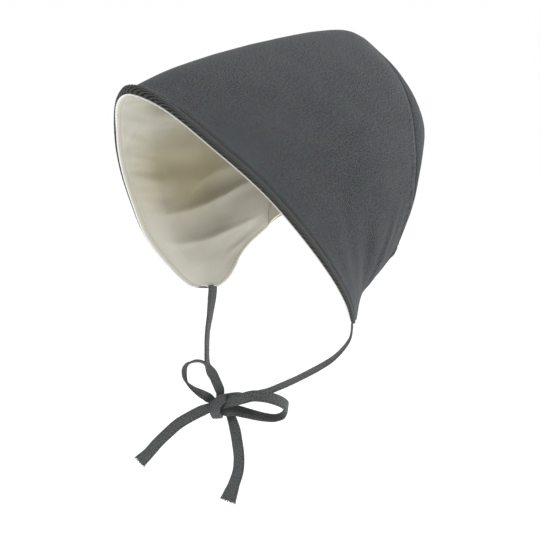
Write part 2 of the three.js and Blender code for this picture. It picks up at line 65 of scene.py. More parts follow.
# Outer panels. The main panel is one piece of twill from the peak over the crown to the back seam, with an
# ear flap on each side. The back panel is a horseshoe, sewn in behind it. The free edge is turned and stitched.
PEAK_REACH, PEAK_DROP, OPENING_WIDTH = 129, 20, 146.5
FLAP_REACH, FLAP_DROP, FLAP_CURL = 24, 146.5, 5.5
CROWN_RISE, SIDE_SWELL = 10.7, 6
SEAM_TOP_BACK, SEAM_TOP_DROP, SEAM_WIDTH = 45, 3, 113.6
SEAM_FOOT_BACK, SEAM_FOOT_DROP = 17.5, 115.5
BACK_DOME, NAPE_RISE, NAPE_ARCH = 32.5, 18, 1.4
OUTER_CLOTH, LINING_CLOTH, CLOTH_GAP = 1.1, 1, 0.3
HEM_WIDTH = 6
PEAK_ROLL, PEAK_ROLL_WIDTH = 2, 20
SEAT_OFFSET = -0.808
CURVE_STEPS = 60
# out, back, down
FRONT_EDGE = (
    (0, 0, 0), (0.235, 0.05, 0.045), (0.548, 0.21, 0.22), (0.778, 0.375, 0.394), (0.914, 0.524, 0.565),
    (0.997, 0.665, 0.731), (0.978, 0.803, 0.874), (0.878, 0.929, 0.991), (0.781, 1, 1),
)
# out, down
BACK_SEAM = (
    (0, 0), (0.26, 0.06), (0.5, 0.145), (0.75, 0.29), (0.91, 0.48), (0.99, 0.67), (1, 0.76), (0.957, 0.885),
    (0.887, 1),
)
# along, rise
CROWN_LINE = ((0, 0), (0.19, 0.62), (0.44, 0.94), (0.7, 1), (0.86, 0.88), (0.94, 0.57), (1, 0))
# along, curl, back, up
NECK_EDGE = (
    (0, 0, 0, 0), (0.13, 0.52, 0.14, 0.03), (0.25, 0.92, 0.25, 0.17), (0.385, 1, 0.345, 0.345),
    (0.52, 0.55, 0.47, 0.52), (0.66, 0.25, 0.615, 0.675), (0.8, 0.1, 0.775, 0.82), (1, 0, 1, 1),
)
# down, dome
BACK_PROFILE = (
    (0, 0), (0.12, 0.33), (0.29, 0.75), (0.44, 1), (0.58, 0.8), (0.72, 0.48), (0.86, 0.27), (1, 0.16),
)


def smooth_line(points, steps):
    """Points along a centripetal curve through the given ones, with as many steps from each to the next."""
    points = np.asarray(points, float)
    p = np.vstack([2 * points[0] - points[1], points, 2 * points[-1] - points[-2]])
    share = np.linspace(0, 1, steps, endpoint=False)[:, None]
    out = []
    for k in range(1, len(p) - 2):
        before, span, after = (np.sqrt(np.linalg.norm(p[k + i] - p[k + i - 1])) for i in (0, 1, 2))
        start = (p[k] - p[k - 1]) / before - (p[k + 1] - p[k - 1]) / (before + span) + (p[k + 1] - p[k]) / span
        end = (p[k + 1] - p[k]) / span - (p[k + 2] - p[k]) / (span + after) + (p[k + 2] - p[k + 1]) / after
        start, end, rise = start * span, end * span, p[k + 1] - p[k]
        bend = 3 * rise - 2 * start - end + share * (start + end - 2 * rise)
        out.append(p[k] + share * (start + share * bend))
    return np.vstack([*out, points[-1:]])


def smooth_column(table, column):
    """A smooth curve through one column of a table, over its first column."""
    table = np.array(table, float)
    keys, values = table[:, 0], table[:, column]
    slopes = np.empty(len(keys))
    slopes[1:-1] = (values[2:] - values[:-2]) / (keys[2:] - keys[:-2])
    slopes[0] = (values[1] - values[0]) / (keys[1] - keys[0])
    slopes[-1] = (values[-1] - values[-2]) / (keys[-1] - keys[-2])

    def at(share):
        k = np.clip(np.searchsorted(keys, share, side="right") - 1, 0, len(keys) - 2)
        span = keys[k + 1] - keys[k]
        t = (share - keys[k]) / span
        start, end, rise = slopes[k] * span, slopes[k + 1] * span, values[k + 1] - values[k]
        return values[k] + t * (start + t * (3 * rise - 2 * start - end + t * (start + end - 2 * rise)))

    return at


def run_lengths(line):
    """How far along a line each of its points lies."""
    return np.concatenate([[0], np.cumsum(np.linalg.norm(np.diff(line, axis=0), axis=1))])


def read_line(line, lengths, at):
    return np.stack([np.interp(at, lengths, line[:, k]) for k in range(3)], axis=-1)


def mirrored_line(half_points):
    """A curve through one half's points and their mirror images: its reader by share, and its length."""
    half_points = np.array(half_points, float)
    dense = smooth_line(np.vstack([half_points[:0:-1] * (-1, 1, 1), half_points]), CURVE_STEPS)
    lengths = run_lengths(dense)

    def at(share):
        return read_line(dense, lengths, share * lengths[-1])

    return at, lengths[-1]


front_edge, front_length = mirrored_line(
    [
        (
            out * OPENING_WIDTH / 2,
            -PEAK_REACH + back * (PEAK_REACH - FLAP_REACH),
            -PEAK_DROP - down * (FLAP_DROP - PEAK_DROP),
        )
        for out, back, down in FRONT_EDGE
    ]
)
back_seam = mirrored_line(
    [
        (
            out * SEAM_WIDTH / 2,
            SEAM_TOP_BACK - down * (SEAM_TOP_BACK - SEAM_FOOT_BACK),
            -SEAM_TOP_DROP - down * (SEAM_FOOT_DROP - SEAM_TOP_DROP),
        )
        for out, down in BACK_SEAM
    ]
)[0]
HALF_EDGE = front_length / 2
crown_rise = smooth_column(CROWN_LINE, 1)
neck_curl, neck_back, neck_up = (smooth_column(NECK_EDGE, k) for k in (1, 2, 3))
back_dome = smooth_column(BACK_PROFILE, 1)


def main_surface(across, back):
    """The outside of the main panel, across from -1 at the right flap to 1 at the left, back from 0 to 1."""
    share = (1 + across) / 2
    point = front_edge(share) * (1 - back)[..., None] + back_seam(share) * back[..., None]
    crown = np.cos(across * np.pi / 2) ** 2
    neck = 1 - crown
    swell = SIDE_SWELL * np.sin(back * np.pi) * np.sin(across * np.pi) ** 2
    point[..., 0] += np.sign(across) * (swell - neck * FLAP_CURL * neck_curl(back))
    point[..., 1] += neck * (neck_back(back) - back) * (FLAP_REACH + SEAM_FOOT_BACK)
    point[..., 2] += neck * (neck_up(back) - back) * (FLAP_DROP - SEAM_FOOT_DROP)
    point[..., 2] += crown * CROWN_RISE * crown_rise(back) + SEAT_OFFSET
    return point


def back_surface(down, across):
    """The outside of the back panel, down from 0 at the crown to 1 at the nape, across from -1 to 1."""
    seam = back_seam((1 + down) / 2)
    turn = across * np.pi / 2
    arch = np.maximum(0, np.cos(turn))
    height = np.clip((-seam[..., 2] - SEAM_TOP_DROP) / (SEAM_FOOT_DROP - SEAM_TOP_DROP), 0, 1)
    return np.stack(
        [
            seam[..., 0] * np.sin(turn),
            seam[..., 1] + BACK_DOME * back_dome(height) * arch,
            seam[..., 2] + NAPE_RISE * height**2 * arch**NAPE_ARCH + SEAT_OFFSET,
        ],
        axis=-1,
    )


# Distances from a free edge at which its turned edge is modelled, the places in that list of the two rows of
# stitches, and how finely the rest is divided: closer rows near the peak, where the edge gathers round the bend.
EDGE_STATIONS = np.array(
    (0, 0.12, 0.35, 0.7, 1.1, 1.6, 2.2, 2.7, 3.0, 3.3, 3.7, 4.0, 4.2, 4.4, 4.7, 5.2, 6, 7, 8.5, 10.5)
)
LINING_STITCH, OUTER_STITCH = 8, 12
PEAK_SPAN, PEAK_STEP, FLAP_STEP = 48, 0.6, 2.1
MAIN_STEPS, BACK_STEPS = 70, 72

edge_shares = EDGE_STATIONS / HALF_EDGE
rows_to_flap = round((HALF_EDGE - PEAK_SPAN - EDGE_STATIONS[-1]) / FLAP_STEP)
half_rows = np.concatenate(
    [
        np.linspace(0, PEAK_SPAN / HALF_EDGE, round(PEAK_SPAN / PEAK_STEP) + 1)[:-1],
        np.linspace(PEAK_SPAN / HALF_EDGE, 1 - edge_shares[-1], rows_to_flap + 1)[:-1],
        1 - edge_shares[::-1],
    ]
)
main_rows = np.concatenate([-half_rows[:0:-1], half_rows])
row_lengths = np.linalg.norm(
    main_surface(main_rows, np.zeros_like(main_rows)) - main_surface(main_rows, np.ones_like(main_rows)), axis=1
)[:, None]
edge_part = EDGE_STATIONS[None] / row_lengths
inner_part = edge_part[:, -1:] + (1 - edge_part[:, -1:]) * np.linspace(0, 1, MAIN_STEPS)[None, 1:]
main_back = np.concatenate([edge_part, inner_part], axis=1)
main_across = np.broadcast_to(main_rows[:, None], main_back.shape)
main_along = main_across * HALF_EDGE
main_skin = main_surface(main_across, main_back)
main_edge = np.minimum(main_back * row_lengths, (1 - np.abs(main_across)) * HALF_EDGE)
back_down, back_across = np.meshgrid(half_rows, np.linspace(-1, 1, BACK_STEPS + 1), indexing="ij")
back_skin = back_surface(back_down, back_across)
back_edge = (1 - back_down) * HALF_EDGE


def unit(vectors):
    return vectors / np.maximum(np.linalg.norm(vectors, axis=-1, keepdims=True), 1e-12)


def out_normals(skin, flip):
    """Which way is out of the bonnet at each spot of a skin."""
    normal = np.cross(np.gradient(skin, axis=0), np.gradient(skin, axis=1))
    return unit(-normal if flip else normal)


# The two panels share the normals along their seam, so that their walls meet there.
main_out = out_normals(main_skin, False)
back_out = out_normals(back_skin, True)
crown_row = len(half_rows) - 1
back_out[0] = unit(back_out[1].mean(axis=0))
to_seam = (1 - main_back) * row_lengths
back_to_seam = (1 - np.abs(back_across)) * np.abs(back_seam((1 + half_rows) / 2)[:, :1]) * np.pi / 2
MAIN_SHARED, BACK_SHARED = 12, 45
main_own = np.clip(to_seam / MAIN_SHARED, 0, 1)[..., None]
back_own = np.clip(back_to_seam / BACK_SHARED, 0, 1)[..., None]
middle = BACK_STEPS // 2
for on_main, own, on_back, own_back in (
    (main_out[crown_row:], main_own[crown_row:], back_out[:, :middle:-1], back_own[:, :middle:-1]),
    (main_out[crown_row::-1], main_own[crown_row::-1], back_out[:, :middle], back_own[:, :middle]),
):
    shared = unit(on_main[:, -1] + on_back[:, 0])[:, None]
    on_back[:] = unit(shared * (1 - own_back) + on_back * own_back)
    on_main[:] = unit(shared * (1 - own) + on_main * own)
back_out[0] = main_out[crown_row, -1]


SEED_STEP = 7.31


def ripple(points, size, seed):
    """Smooth noise from -1 to 1 at each point, in humps of about that size in millimetres."""
    flat = points.reshape(-1, 3) / size + seed * SEED_STEP
    return np.array([noise.noise(p) for p in flat]).reshape(points.shape[:-1])


def dip(distance, width):
    return np.exp(-((distance / width) ** 2))


# How far a fold has faded at its ends, and how many of its widths its pocket lies above its ridge.
FOLD_END, POCKET_STEP = 0.12, 1.2


def fold_heights(table):
    """Height of a table's folds over the main panel. Each is a ridge along its line and a pocket above it."""
    total = np.zeros(main_across.shape)
    for side, start, end, bend, wide, ridge, pocket in table:
        start_low, start_back = start[0] * HALF_EDGE, start[1] * row_lengths
        run_low, run_back = (end[0] - start[0]) * HALF_EDGE, (end[1] - start[1]) * row_lengths
        way_low, way_back = main_along * side - start_low, main_back * row_lengths - start_back
        run = np.hypot(run_low, run_back)
        along = (way_low * run_low + way_back * run_back) / run**2
        inside = np.clip(along, 0, 1)
        below = (way_low * run_back - way_back * run_low) / run - bend * np.sin(np.pi * inside)
        strength = dip((along - inside) * run, wide) * np.sin(np.pi * (FOLD_END + (1 - 2 * FOLD_END) * inside))
        total += strength * (ridge * dip(below, wide) - pocket * dip(below + POCKET_STEP * wide, wide))
    return total


def math_node(nodes, links, operation, *values):
    node = nodes.new("ShaderNodeMath")
    node.operation = operation
    for k, value in enumerate(values):
        if isinstance(value, (int, float)):
            node.inputs[k].default_value = value
        else:
            links.new(value, node.inputs[k])
    return node.outputs[0]


def noise_node(nodes, links, place, scale, detail):
    node = nodes.new("ShaderNodeTexNoise")
    node.inputs["Scale"].default_value = scale
    node.inputs["Detail"].default_value = detail
    links.new(place, node.inputs["Vector"])
    return node


# The yarns that cross each rib and how much they shape it, the unevenness along it, and the fibres' speckle.
YARNS_PER_RIB, YARN_SHARE = 1.7, 0.35
SLUB_SCALE, FIBRE_SCALE, FIBRE_CONTRAST = 0.5, 1.7, 4.5


def weave_group():
    """Ribs of a woven cloth with uneven yarns, from a place on the cloth in millimetres."""
    group = bpy.data.node_groups.new("Weave", "ShaderNodeTree")
    group.interface.new_socket("Place", in_out="INPUT", socket_type="NodeSocketVector")
    for name, value in (("Rib", 1.2), ("Rise", 1.0), ("Slub", 0.3), ("Fibre", 0.5)):
        group.interface.new_socket(name, in_out="INPUT", socket_type="NodeSocketFloat").default_value = value
    for name in ("Height", "Shade"):
        group.interface.new_socket(name, in_out="OUTPUT", socket_type="NodeSocketFloat")
    nodes, links = group.nodes, group.links
    entry = nodes.new("NodeGroupInput")
    leave = nodes.new("NodeGroupOutput")

    def calc(operation, *values):
        return math_node(nodes, links, operation, *values)

    def grain(scale, detail):
        return noise_node(nodes, links, entry.outputs["Place"], scale, detail).outputs["Fac"]

    split = nodes.new("ShaderNodeSeparateXYZ")
    links.new(entry.outputs["Place"], split.inputs[0])
    across, down = split.outputs[0], split.outputs[1]
    lean = calc("ADD", down, calc("MULTIPLY", across, entry.outputs["Rise"]))
    lean = calc("ADD", lean, calc("MULTIPLY", grain(SLUB_SCALE, 3), entry.outputs["Slub"]))
    turn = calc("DIVIDE", calc("MULTIPLY", lean, 2 * math.pi), entry.outputs["Rib"])
    rib = calc("MULTIPLY_ADD", calc("SINE", turn), 0.5, 0.5)
    yarn_turn = calc("DIVIDE", calc("MULTIPLY", across, 2 * math.pi * YARNS_PER_RIB), entry.outputs["Rib"])
    yarn = calc("MULTIPLY_ADD", calc("SINE", calc("ADD", yarn_turn, turn)), 0.5, 0.5)
    height = calc("MULTIPLY", rib, calc("MULTIPLY_ADD", yarn, YARN_SHARE, 1 - YARN_SHARE))
    fibre = calc("MULTIPLY_ADD", calc("SUBTRACT", grain(FIBRE_SCALE, 2), 0.5), FIBRE_CONTRAST, 0.5)
    plain = calc("MULTIPLY", height, calc("SUBTRACT", 1.0, entry.outputs["Fibre"]))
    shade = calc("ADD", plain, calc("MULTIPLY", fibre, entry.outputs["Fibre"]))
    links.new(height, leave.inputs["Height"])
    links.new(shade, leave.inputs["Shade"])
    return group


WEAVE = weave_group()
CLOTH_SPECULAR, SHEEN_ROUGHNESS, ROUGHNESS_SPREAD = 0.15, 0.5, 0.08
CLOUD_SCALE, DYE_SCALE = 60, 1.1
RELIEF_DEPTH = 0.1
HEM_BLUR, RIM_BLUR = 0.5, 0.3


def cloth_material(name, dark, light, weave, *, bump, roughness, sheen, cloud, fleck, hem=None, shade_tints=(), rim_highlight=None):
    """Woven cloth: two yarn colours by the height of the weave, flecks of dye and soft clouds of wear.

    weave is Rib, Rise, Slub and Fibre. hem is the width of the turned edge, its weave and its two colours. tints
    are masks of painted shade on the mesh, each with the colour that it multiplies, and rim is the width and colour
    of a painted highlight along the edge."""
    material = bpy.data.materials.new(name)
    material.use_nodes = True
    nodes, links = material.node_tree.nodes, material.node_tree.links
    shader = nodes["Principled BSDF"]
    shader.inputs["Sheen Weight"].default_value = sheen
    shader.inputs["Sheen Roughness"].default_value = SHEEN_ROUGHNESS
    shader.inputs["Specular IOR Level"].default_value = CLOTH_SPECULAR
    place = nodes.new("ShaderNodeUVMap")
    place.uv_map = "cloth"

    def attribute(key):
        node = nodes.new("ShaderNodeAttribute")
        node.attribute_name = key
        return node.outputs["Fac"]

    def mask(value, low, high, at_low, at_high):
        node = nodes.new("ShaderNodeMapRange")
        node.interpolation_type = "SMOOTHSTEP"
        for key, number in (("From Min", low), ("From Max", high), ("To Min", at_low), ("To Max", at_high)):
            node.inputs[key].default_value = number
        links.new(value, node.inputs["Value"])
        return node.outputs["Result"]

    def mixed(factor, first, second, blend="MIX"):
        node = nodes.new("ShaderNodeMix")
        node.data_type = "RGBA"
        node.blend_type = blend
        for key, value in (("Factor", factor), ("A", first), ("B", second)):
            if isinstance(value, tuple):
                node.inputs[key].default_value = (*value, 1)
            elif isinstance(value, float):
                node.inputs[key].default_value = value
            else:
                links.new(value, node.inputs[key])
        return node.outputs["Result"]

    def woven(values):
        node = nodes.new("ShaderNodeGroup")
        node.node_tree = WEAVE
        for key, value in zip(("Rib", "Rise", "Slub", "Fibre"), values):
            node.inputs[key].default_value = value
        links.new(place.outputs[0], node.inputs["Place"])
        return node.outputs["Height"], node.outputs["Shade"]

    height, shade = woven(weave)
    clouds = noise_node(nodes, links, nodes.new("ShaderNodeTexCoord").outputs["Object"], CLOUD_SCALE, 4)
    wear = math_node(nodes, links, "MULTIPLY_ADD", clouds.outputs["Fac"], cloud, -cloud / 2)
    colour = mixed(math_node(nodes, links, "ADD", wear, shade), dark, light)
    if hem is not None:
        width, hem_weave, hem_dark, hem_light = hem
        hem_height, hem_shade = woven(hem_weave)
        on_hem = mask(attribute("edge"), width - HEM_BLUR, width + HEM_BLUR, 1, 0)
        colour = mixed(on_hem, colour, mixed(hem_shade, hem_dark, hem_light))
        step = math_node(nodes, links, "SUBTRACT", hem_height, height)
        height = math_node(nodes, links, "MULTIPLY_ADD", step, on_hem, height)
    dye = noise_node(nodes, links, place.outputs[0], DYE_SCALE, 2)
    colour = mixed(fleck, colour, dye.outputs["Color"], "OVERLAY")
    for key, tint in shade_tints:
        colour = mixed(attribute(key), colour, tint, "MULTIPLY")
    # A painted highlight: a paler colour along the very edge of the cloth.
    if rim_highlight is not None:
        width, rim_highlight_colour = rim_highlight
        on_rim_highlight = mask(attribute("edge"), width - HEM_BLUR, width + RIM_BLUR, 1, 0)
        colour = mixed(on_rim_highlight, colour, rim_highlight_colour)
    links.new(colour, shader.inputs["Base Color"])
    rough = nodes.new("ShaderNodeMapRange")
    rough.inputs["To Min"].default_value = roughness + ROUGHNESS_SPREAD
    rough.inputs["To Max"].default_value = roughness - ROUGHNESS_SPREAD
    links.new(height, rough.inputs["Value"])
    links.new(rough.outputs["Result"], shader.inputs["Roughness"])
    relief = nodes.new("ShaderNodeBump")
    relief.inputs["Distance"].default_value = RELIEF_DEPTH * MM
    relief.inputs["Strength"].default_value = bump
    links.new(height, relief.inputs["Height"])
    links.new(relief.outputs["Normal"], shader.inputs["Normal"])
    return material


def cloth_mesh(name, points, faces, uvs, material, **masks):
    """A mesh from points in millimetres, with a place on the cloth in millimetres for each of them."""
    mesh = bpy.data.meshes.new(name)
    mesh.from_pydata((np.asarray(points) * MM).tolist(), [], [list(map(int, f)) for f in faces])
    layer = mesh.uv_layers.new(name="cloth")
    corners = np.empty(len(mesh.loops), dtype=np.int32)
    mesh.loops.foreach_get("vertex_index", corners)
    layer.data.foreach_set("uv", np.asarray(uvs, float)[corners].ravel())
    for key, values in masks.items():
        mesh.attributes.new(key, "FLOAT", "POINT").data.foreach_set("value", np.asarray(values, float))
    mesh.polygons.foreach_set("use_smooth", [True] * len(mesh.polygons))
    mesh.materials.append(material)
    mesh.validate()
    piece = bpy.data.objects.new(name, mesh)
    bpy.context.collection.objects.link(piece)
    return piece


def cloth_places(skin):
    """Places on the flat cloth in millimetres, measured along the columns and the rows."""
    along = np.linalg.norm(np.diff(skin, axis=0), axis=2)
    deep = np.linalg.norm(np.diff(skin, axis=1), axis=2)
    u = np.vstack([np.zeros((1, skin.shape[1])), np.cumsum(along, axis=0)])
    v = np.hstack([np.zeros((skin.shape[0], 1)), np.cumsum(deep, axis=1)])
    return np.stack([u - u[len(u) // 2], v], axis=-1)


MERGE_REACH = 0.01


def wall_piece(name, skin, normals, top, under, material, flip, **masks):
    """One closed wall of cloth between two depths under a skin. The ends of its rows are cut square."""
    rows, columns = skin.shape[:2]
    points = np.concatenate([(skin - normals * depth[..., None]).reshape(-1, 3) for depth in (top, under)])
    grid = np.arange(rows * columns).reshape(rows, columns)
    low = grid + rows * columns
    quads = [
        np.stack([grid[:-1, :-1], grid[1:, :-1], grid[1:, 1:], grid[:-1, 1:]], axis=-1),
        np.stack([low[:-1, :-1], low[:-1, 1:], low[1:, 1:], low[1:, :-1]], axis=-1),
        np.stack([grid[1:, 0], grid[:-1, 0], low[:-1, 0], low[1:, 0]], axis=-1),
        np.stack([grid[:-1, -1], grid[1:, -1], low[1:, -1], low[:-1, -1]], axis=-1),
        np.stack([grid[0, :-1], grid[0, 1:], low[0, 1:], low[0, :-1]], axis=-1),
        np.stack([grid[-1, 1:], grid[-1, :-1], low[-1, :-1], low[-1, 1:]], axis=-1),
    ]
    faces = np.concatenate([q.reshape(-1, 4) for q in quads])
    if flip:
        faces = faces[:, ::-1]
    places = cloth_places(skin).reshape(-1, 2)
    both = {key: np.concatenate([values.ravel()] * 2) for key, values in masks.items()}
    piece = cloth_mesh(name, points, faces, np.concatenate([places, places]), material, **both)
    cut_from = 2 * len(quads[0].reshape(-1, 4)) + (0 if flip else rows - 1)
    for k in range(cut_from, cut_from + (rows - 1) * (2 if flip else 1)):
        piece.data.polygons[k].use_smooth = False
    bpy.ops.object.select_all(action="DESELECT")
    piece.select_set(True)
    bpy.context.view_layer.objects.active = piece
    bpy.ops.object.mode_set(mode="EDIT")
    bpy.ops.mesh.select_all(action="SELECT")
    bpy.ops.mesh.remove_doubles(threshold=MERGE_REACH * MM)
    bpy.ops.object.mode_set(mode="OBJECT")
    return piece


def rounding(edge, radius):
    """How far a face falls away towards a rounded edge."""
    off = np.clip(1 - edge / radius, 0, 1)
    return radius * (1 - np.sqrt(1 - off**2))


# The turned edge is a narrow flat band. It stands out a little, is pulled in softly along its stitches and swells
# behind them. Near the peak it is a thick roll, gathered round the bend.
BAND_WIDTH, BAND_RISE, BAND_SLOPE = 4.2, 0.4, 1.2
PULL_DEPTH, PULL_WIDTH = 0.2, 0.8
SWELL_HEIGHT, SWELL_WIDTH, SWELL_SHIFT = 0.25, 1.2, 1.9
ROLL_FULLNESS = 0.7
GATHER_PITCH, GATHER_HEIGHT, GATHER_SPAN = 2.3, 0.2, 26
GATHER_LEAN, GATHER_REACH, GATHER_FADE = 0.5, 0.8, 1.5


def outer_hem(edge):
    band = BAND_RISE * np.clip((BAND_WIDTH - edge) / BAND_SLOPE, 0, 1)
    pulled = PULL_DEPTH * dip(edge - BAND_WIDTH, PULL_WIDTH)
    behind = SWELL_HEIGHT * dip(edge - BAND_WIDTH - SWELL_SHIFT, SWELL_WIDTH)
    return band - pulled + behind


def peak_roll(along, edge):
    share = np.clip(edge / HEM_WIDTH, 0, 1)
    roll = PEAK_ROLL * np.sin(np.pi * share) ** ROLL_FULLNESS
    gathers = GATHER_HEIGHT * np.sin(2 * np.pi * (along + GATHER_LEAN * np.abs(edge)) / GATHER_PITCH)
    on_band = np.clip((BAND_WIDTH + GATHER_REACH - edge) / GATHER_FADE, 0, 1)
    return roll * dip(along, PEAK_ROLL_WIDTH) + gathers * on_band * dip(along, GATHER_SPAN)


# start and end as (low, back), bend, wide, ridge, pocket: the streaks that fan out from the ties, on both sides
# and on the left alone
BOTH_FOLDS = (
    ((0.97, 0.35), (0.62, 0.62), 0, 5, 0.35, 0.3),
    ((0.95, 0.2), (0.55, 0.42), 0, 5, 0.3, 0.25),
    ((0.97, 0.55), (0.7, 0.82), 0, 4, 0.35, 0.3),
    ((0.95, 0.72), (0.72, 0.9), 0, 3, 0.25, 0.2),
)
LEFT_FOLDS = (
    ((0.9, 0.12), (0.6, 0.22), 0, 4, 0.25, 0.2),
    ((0.97, 0.45), (0.78, 0.72), 3, 3, 0.3, 0.2),
)
OUTER_FOLDS = [(side, *row) for side in (1, -1) for row in BOTH_FOLDS] + [(1, *row) for row in LEFT_FOLDS]


DENT_DEPTH, DENT_SIZE, DENT_FADE = 0.4, 34, 14
RUMPLE_DEPTH, RUMPLE_SIZE = 0.12, 11
PUCKER_HEIGHT, PUCKER_SIZE, PUCKER_PLACE, PUCKER_WIDTH = 0.2, 5, 4, 5


def soft_dents(skin, seed):
    """Slight unevenness of the hanging cloth."""
    return DENT_DEPTH * ripple(skin, DENT_SIZE, seed) + RUMPLE_DEPTH * ripple(skin, RUMPLE_SIZE, seed + 1)


def puckers(skin, edge, seed):
    """Short gathers behind the row of stitches."""
    return PUCKER_HEIGHT * ripple(skin, PUCKER_SIZE, seed) * dip(edge - PUCKER_PLACE, PUCKER_WIDTH)


# Along the seam the cloth dips at the stitches and rises over the seam allowance beside them.
SEAM_DIP, SEAM_DIP_WIDTH = 0.25, 1.1
SEAM_RIDGE, SEAM_RIDGE_WIDTH, SEAM_RIDGE_PLACE = 0.4, 1.9, 3.6
DEEPEST_OUTSIDE, LEAST_TWILL = 1.35, 0.12
TWILL_ROUNDING = 1.4
main_seam = SEAM_DIP * dip(to_seam, SEAM_DIP_WIDTH)
main_seam -= SEAM_RIDGE * dip(to_seam - SEAM_RIDGE_PLACE, SEAM_RIDGE_WIDTH)
back_seam_dip = SEAM_DIP * dip(back_to_seam, SEAM_DIP_WIDTH)
main_dents = (soft_dents(main_skin, 11) + fold_heights(OUTER_FOLDS)) * np.clip(main_edge / DENT_FADE, 0, 1)
main_raised = outer_hem(main_edge) + peak_roll(main_along, main_back * row_lengths) + main_dents
main_top = rounding(main_edge, TWILL_ROUNDING) - main_raised + main_seam + puckers(main_skin, main_edge, 5)
back_raised = outer_hem(back_edge) + soft_dents(back_skin, 12) * np.clip(back_edge / DENT_FADE, 0, 1)
back_top = rounding(back_edge, TWILL_ROUNDING) - back_raised + back_seam_dip + puckers(back_skin, back_edge, 6)
main_top, back_top = np.minimum(main_top, DEEPEST_OUTSIDE), np.minimum(back_top, DEEPEST_OUTSIDE)

TWILL_DARK = (0.012, 0.014, 0.015)
TWILL_LIGHT = (0.092, 0.1, 0.104)
TWILL_WEAVE = (1.1, 0.12, 0.2, 0.78)
BAND_DARK, BAND_LIGHT = (0.012, 0.013, 0.013), (0.1, 0.102, 0.096)
BAND_WEAVE = (1.25, -0.385, 0.3, 0.15)
outer_twill = cloth_material(
    "outer twill", TWILL_DARK, TWILL_LIGHT, TWILL_WEAVE,
    bump=0.5, roughness=0.9, sheen=0.06, cloud=0.25, fleck=0.7,
    hem=(BAND_WIDTH, BAND_WEAVE, BAND_DARK, BAND_LIGHT),
)
outer_main = wall_piece(
    "twill_main_panel", main_skin, main_out, main_top, np.maximum(main_top + LEAST_TWILL, OUTER_CLOTH),
    outer_twill, False, edge=main_edge,
)
outer_back = wall_piece(
    "twill_back_panel", back_skin, back_out, back_top, np.maximum(back_top + LEAST_TWILL, OUTER_CLOTH),
    outer_twill, True, edge=back_edge,
)
MAIN_CUT, MAIN_AREA = (0.44, 0.175), 0.0395
BACK_CUT, BACK_AREA = (0.125, 0.125), 0.0112
for piece, node, cut, area in (
    (outer_main, "outer_main", MAIN_CUT, MAIN_AREA),
    (outer_back, "outer_back", BACK_CUT, BACK_AREA),
):
    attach(piece, "root")
    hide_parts(node)

# Lining. Cream sateen, cut like the outer panels and sewn to them all round the free edge, so it hangs a
# little loose inside and folds where the head isn't there to fill it. It just shows beyond the outer edge.
LINING_SLACK, EDGE_FADE = 4.5, 4
# side, start and end as (low, back), bend, wide, ridge, pocket
LINING_FOLDS = (
    (-1, (0.655, 0.13), (0.75, 0.9), 5, 7.5, 2.8, 2.2),
    (-1, (0.765, 0.13), (0.93, 0.95), 4, 6.5, 2.2, 1),
    (-1, (0.65, 0.21), (0.69, 0.75), -9, 7, 1.2, 0),
    (-1, (0.46, 0.13), (0.56, 0.42), 0, 9, -2.5, -1.5),
    (-1, (0.215, 0.08), (0.3, 0.42), 0, 9, 3, 3.5),
    (1, (0.7, 0.14), (0.77, 0.85), 3, 10, 4, 4),
    (1, (0.42, 0.14), (0.5, 0.7), 0, 12, 3, 3.5),
)
# The small sharp creases between them, and the puckers along the front edge.
LINING_CREASES = (
    (-1, (0.643, 0.12), (0.745, 0.88), 5, 1.9, 2, 0.5),
    (-1, (0.762, 0.12), (0.925, 0.9), 4, 1.8, 1.9, 0.4),
    (-1, (0.685, 0.14), (0.785, 0.88), 5, 5, -0.9, 0),
    (-1, (0.645, 0.3), (0.69, 0.8), -8, 2.6, 0.9, 0),
    (-1, (0.234, 0.107), (0.354, 0.03), 0, 2.2, 0.7, 0.4),
    (-1, (0.212, 0.03), (0.323, 0.25), 0, 3, 0.5, 0.5),
    (-1, (0.93, 0.28), (0.968, 0.78), 0, 2.6, 0.5, 0.8),
    (-1, (0.88, 0.2), (0.96, 0.6), 0, 2.6, 0.5, 0.4),
    (-1, (0.7, 0.3), (0.74, 0.7), 2, 2.6, 0.35, 0.35),
    (-1, (0.285, 0.04), (0.36, 0.12), 0, 2.2, 0.6, 0.5),
    (-1, (0.36, 0.03), (0.37, 0.09), 0, 1.6, 0.7, 0.7),
    (-1, (0.385, 0.03), (0.45, 0.16), 0, 2, 0.7, 0.5),
    (-1, (0.44, 0.03), (0.45, 0.1), 0, 1.6, 0.6, 0.6),
    (-1, (0.47, 0.03), (0.54, 0.19), 0, 2.4, 1, 0.7),
    (-1, (0.545, 0.03), (0.56, 0.11), 0, 1.8, 0.5, 0.5),
    (-1, (0.58, 0.04), (0.64, 0.2), 0, 2.6, 0.6, 0.5),
    (-1, (0.13, 0.03), (0.17, 0.14), 0, 2, 0.4, 0.4),
    (-1, (0.07, 0.03), (0.08, 0.12), 0, 2, 0.3, 0.4),
)
# Where the cloth looks darker and warmer, deep behind the folds: ridge is how strongly.
LINING_SHADOWS = (
    (-1, (0.58, 0.2), (0.62, 0.66), 0, 24, 1, 0),
    (-1, (0.36, 0.12), (0.56, 0.3), 0, 17, 0.8, 0),
    (-1, (0.3, 0.3), (0.46, 0.45), 0, 16, 0.4, 0),
    (1, (0.58, 0.2), (0.62, 0.66), 0, 24, 1, 0),
    (1, (0.3, 0.22), (0.46, 0.4), 0, 18, 0.6, 0),
)


def inside_fade(inward):
    """0 on an edge, where the two cloths are sewn together, rising to 1 inside."""
    hem = HEM_WIDTH / OPENING_WIDTH
    t = np.clip((inward - hem) / ((EDGE_FADE - 1) * hem), 0, 1)
    return t * t * (3 - 2 * t)


LINING_BAND, LINING_PULL, LINING_PULL_WIDTH = 3, 0.04, 0.5
LINING_SWELL, LINING_SWELL_PLACE, LINING_SWELL_WIDTH = 0.05, 4.6, 1.2


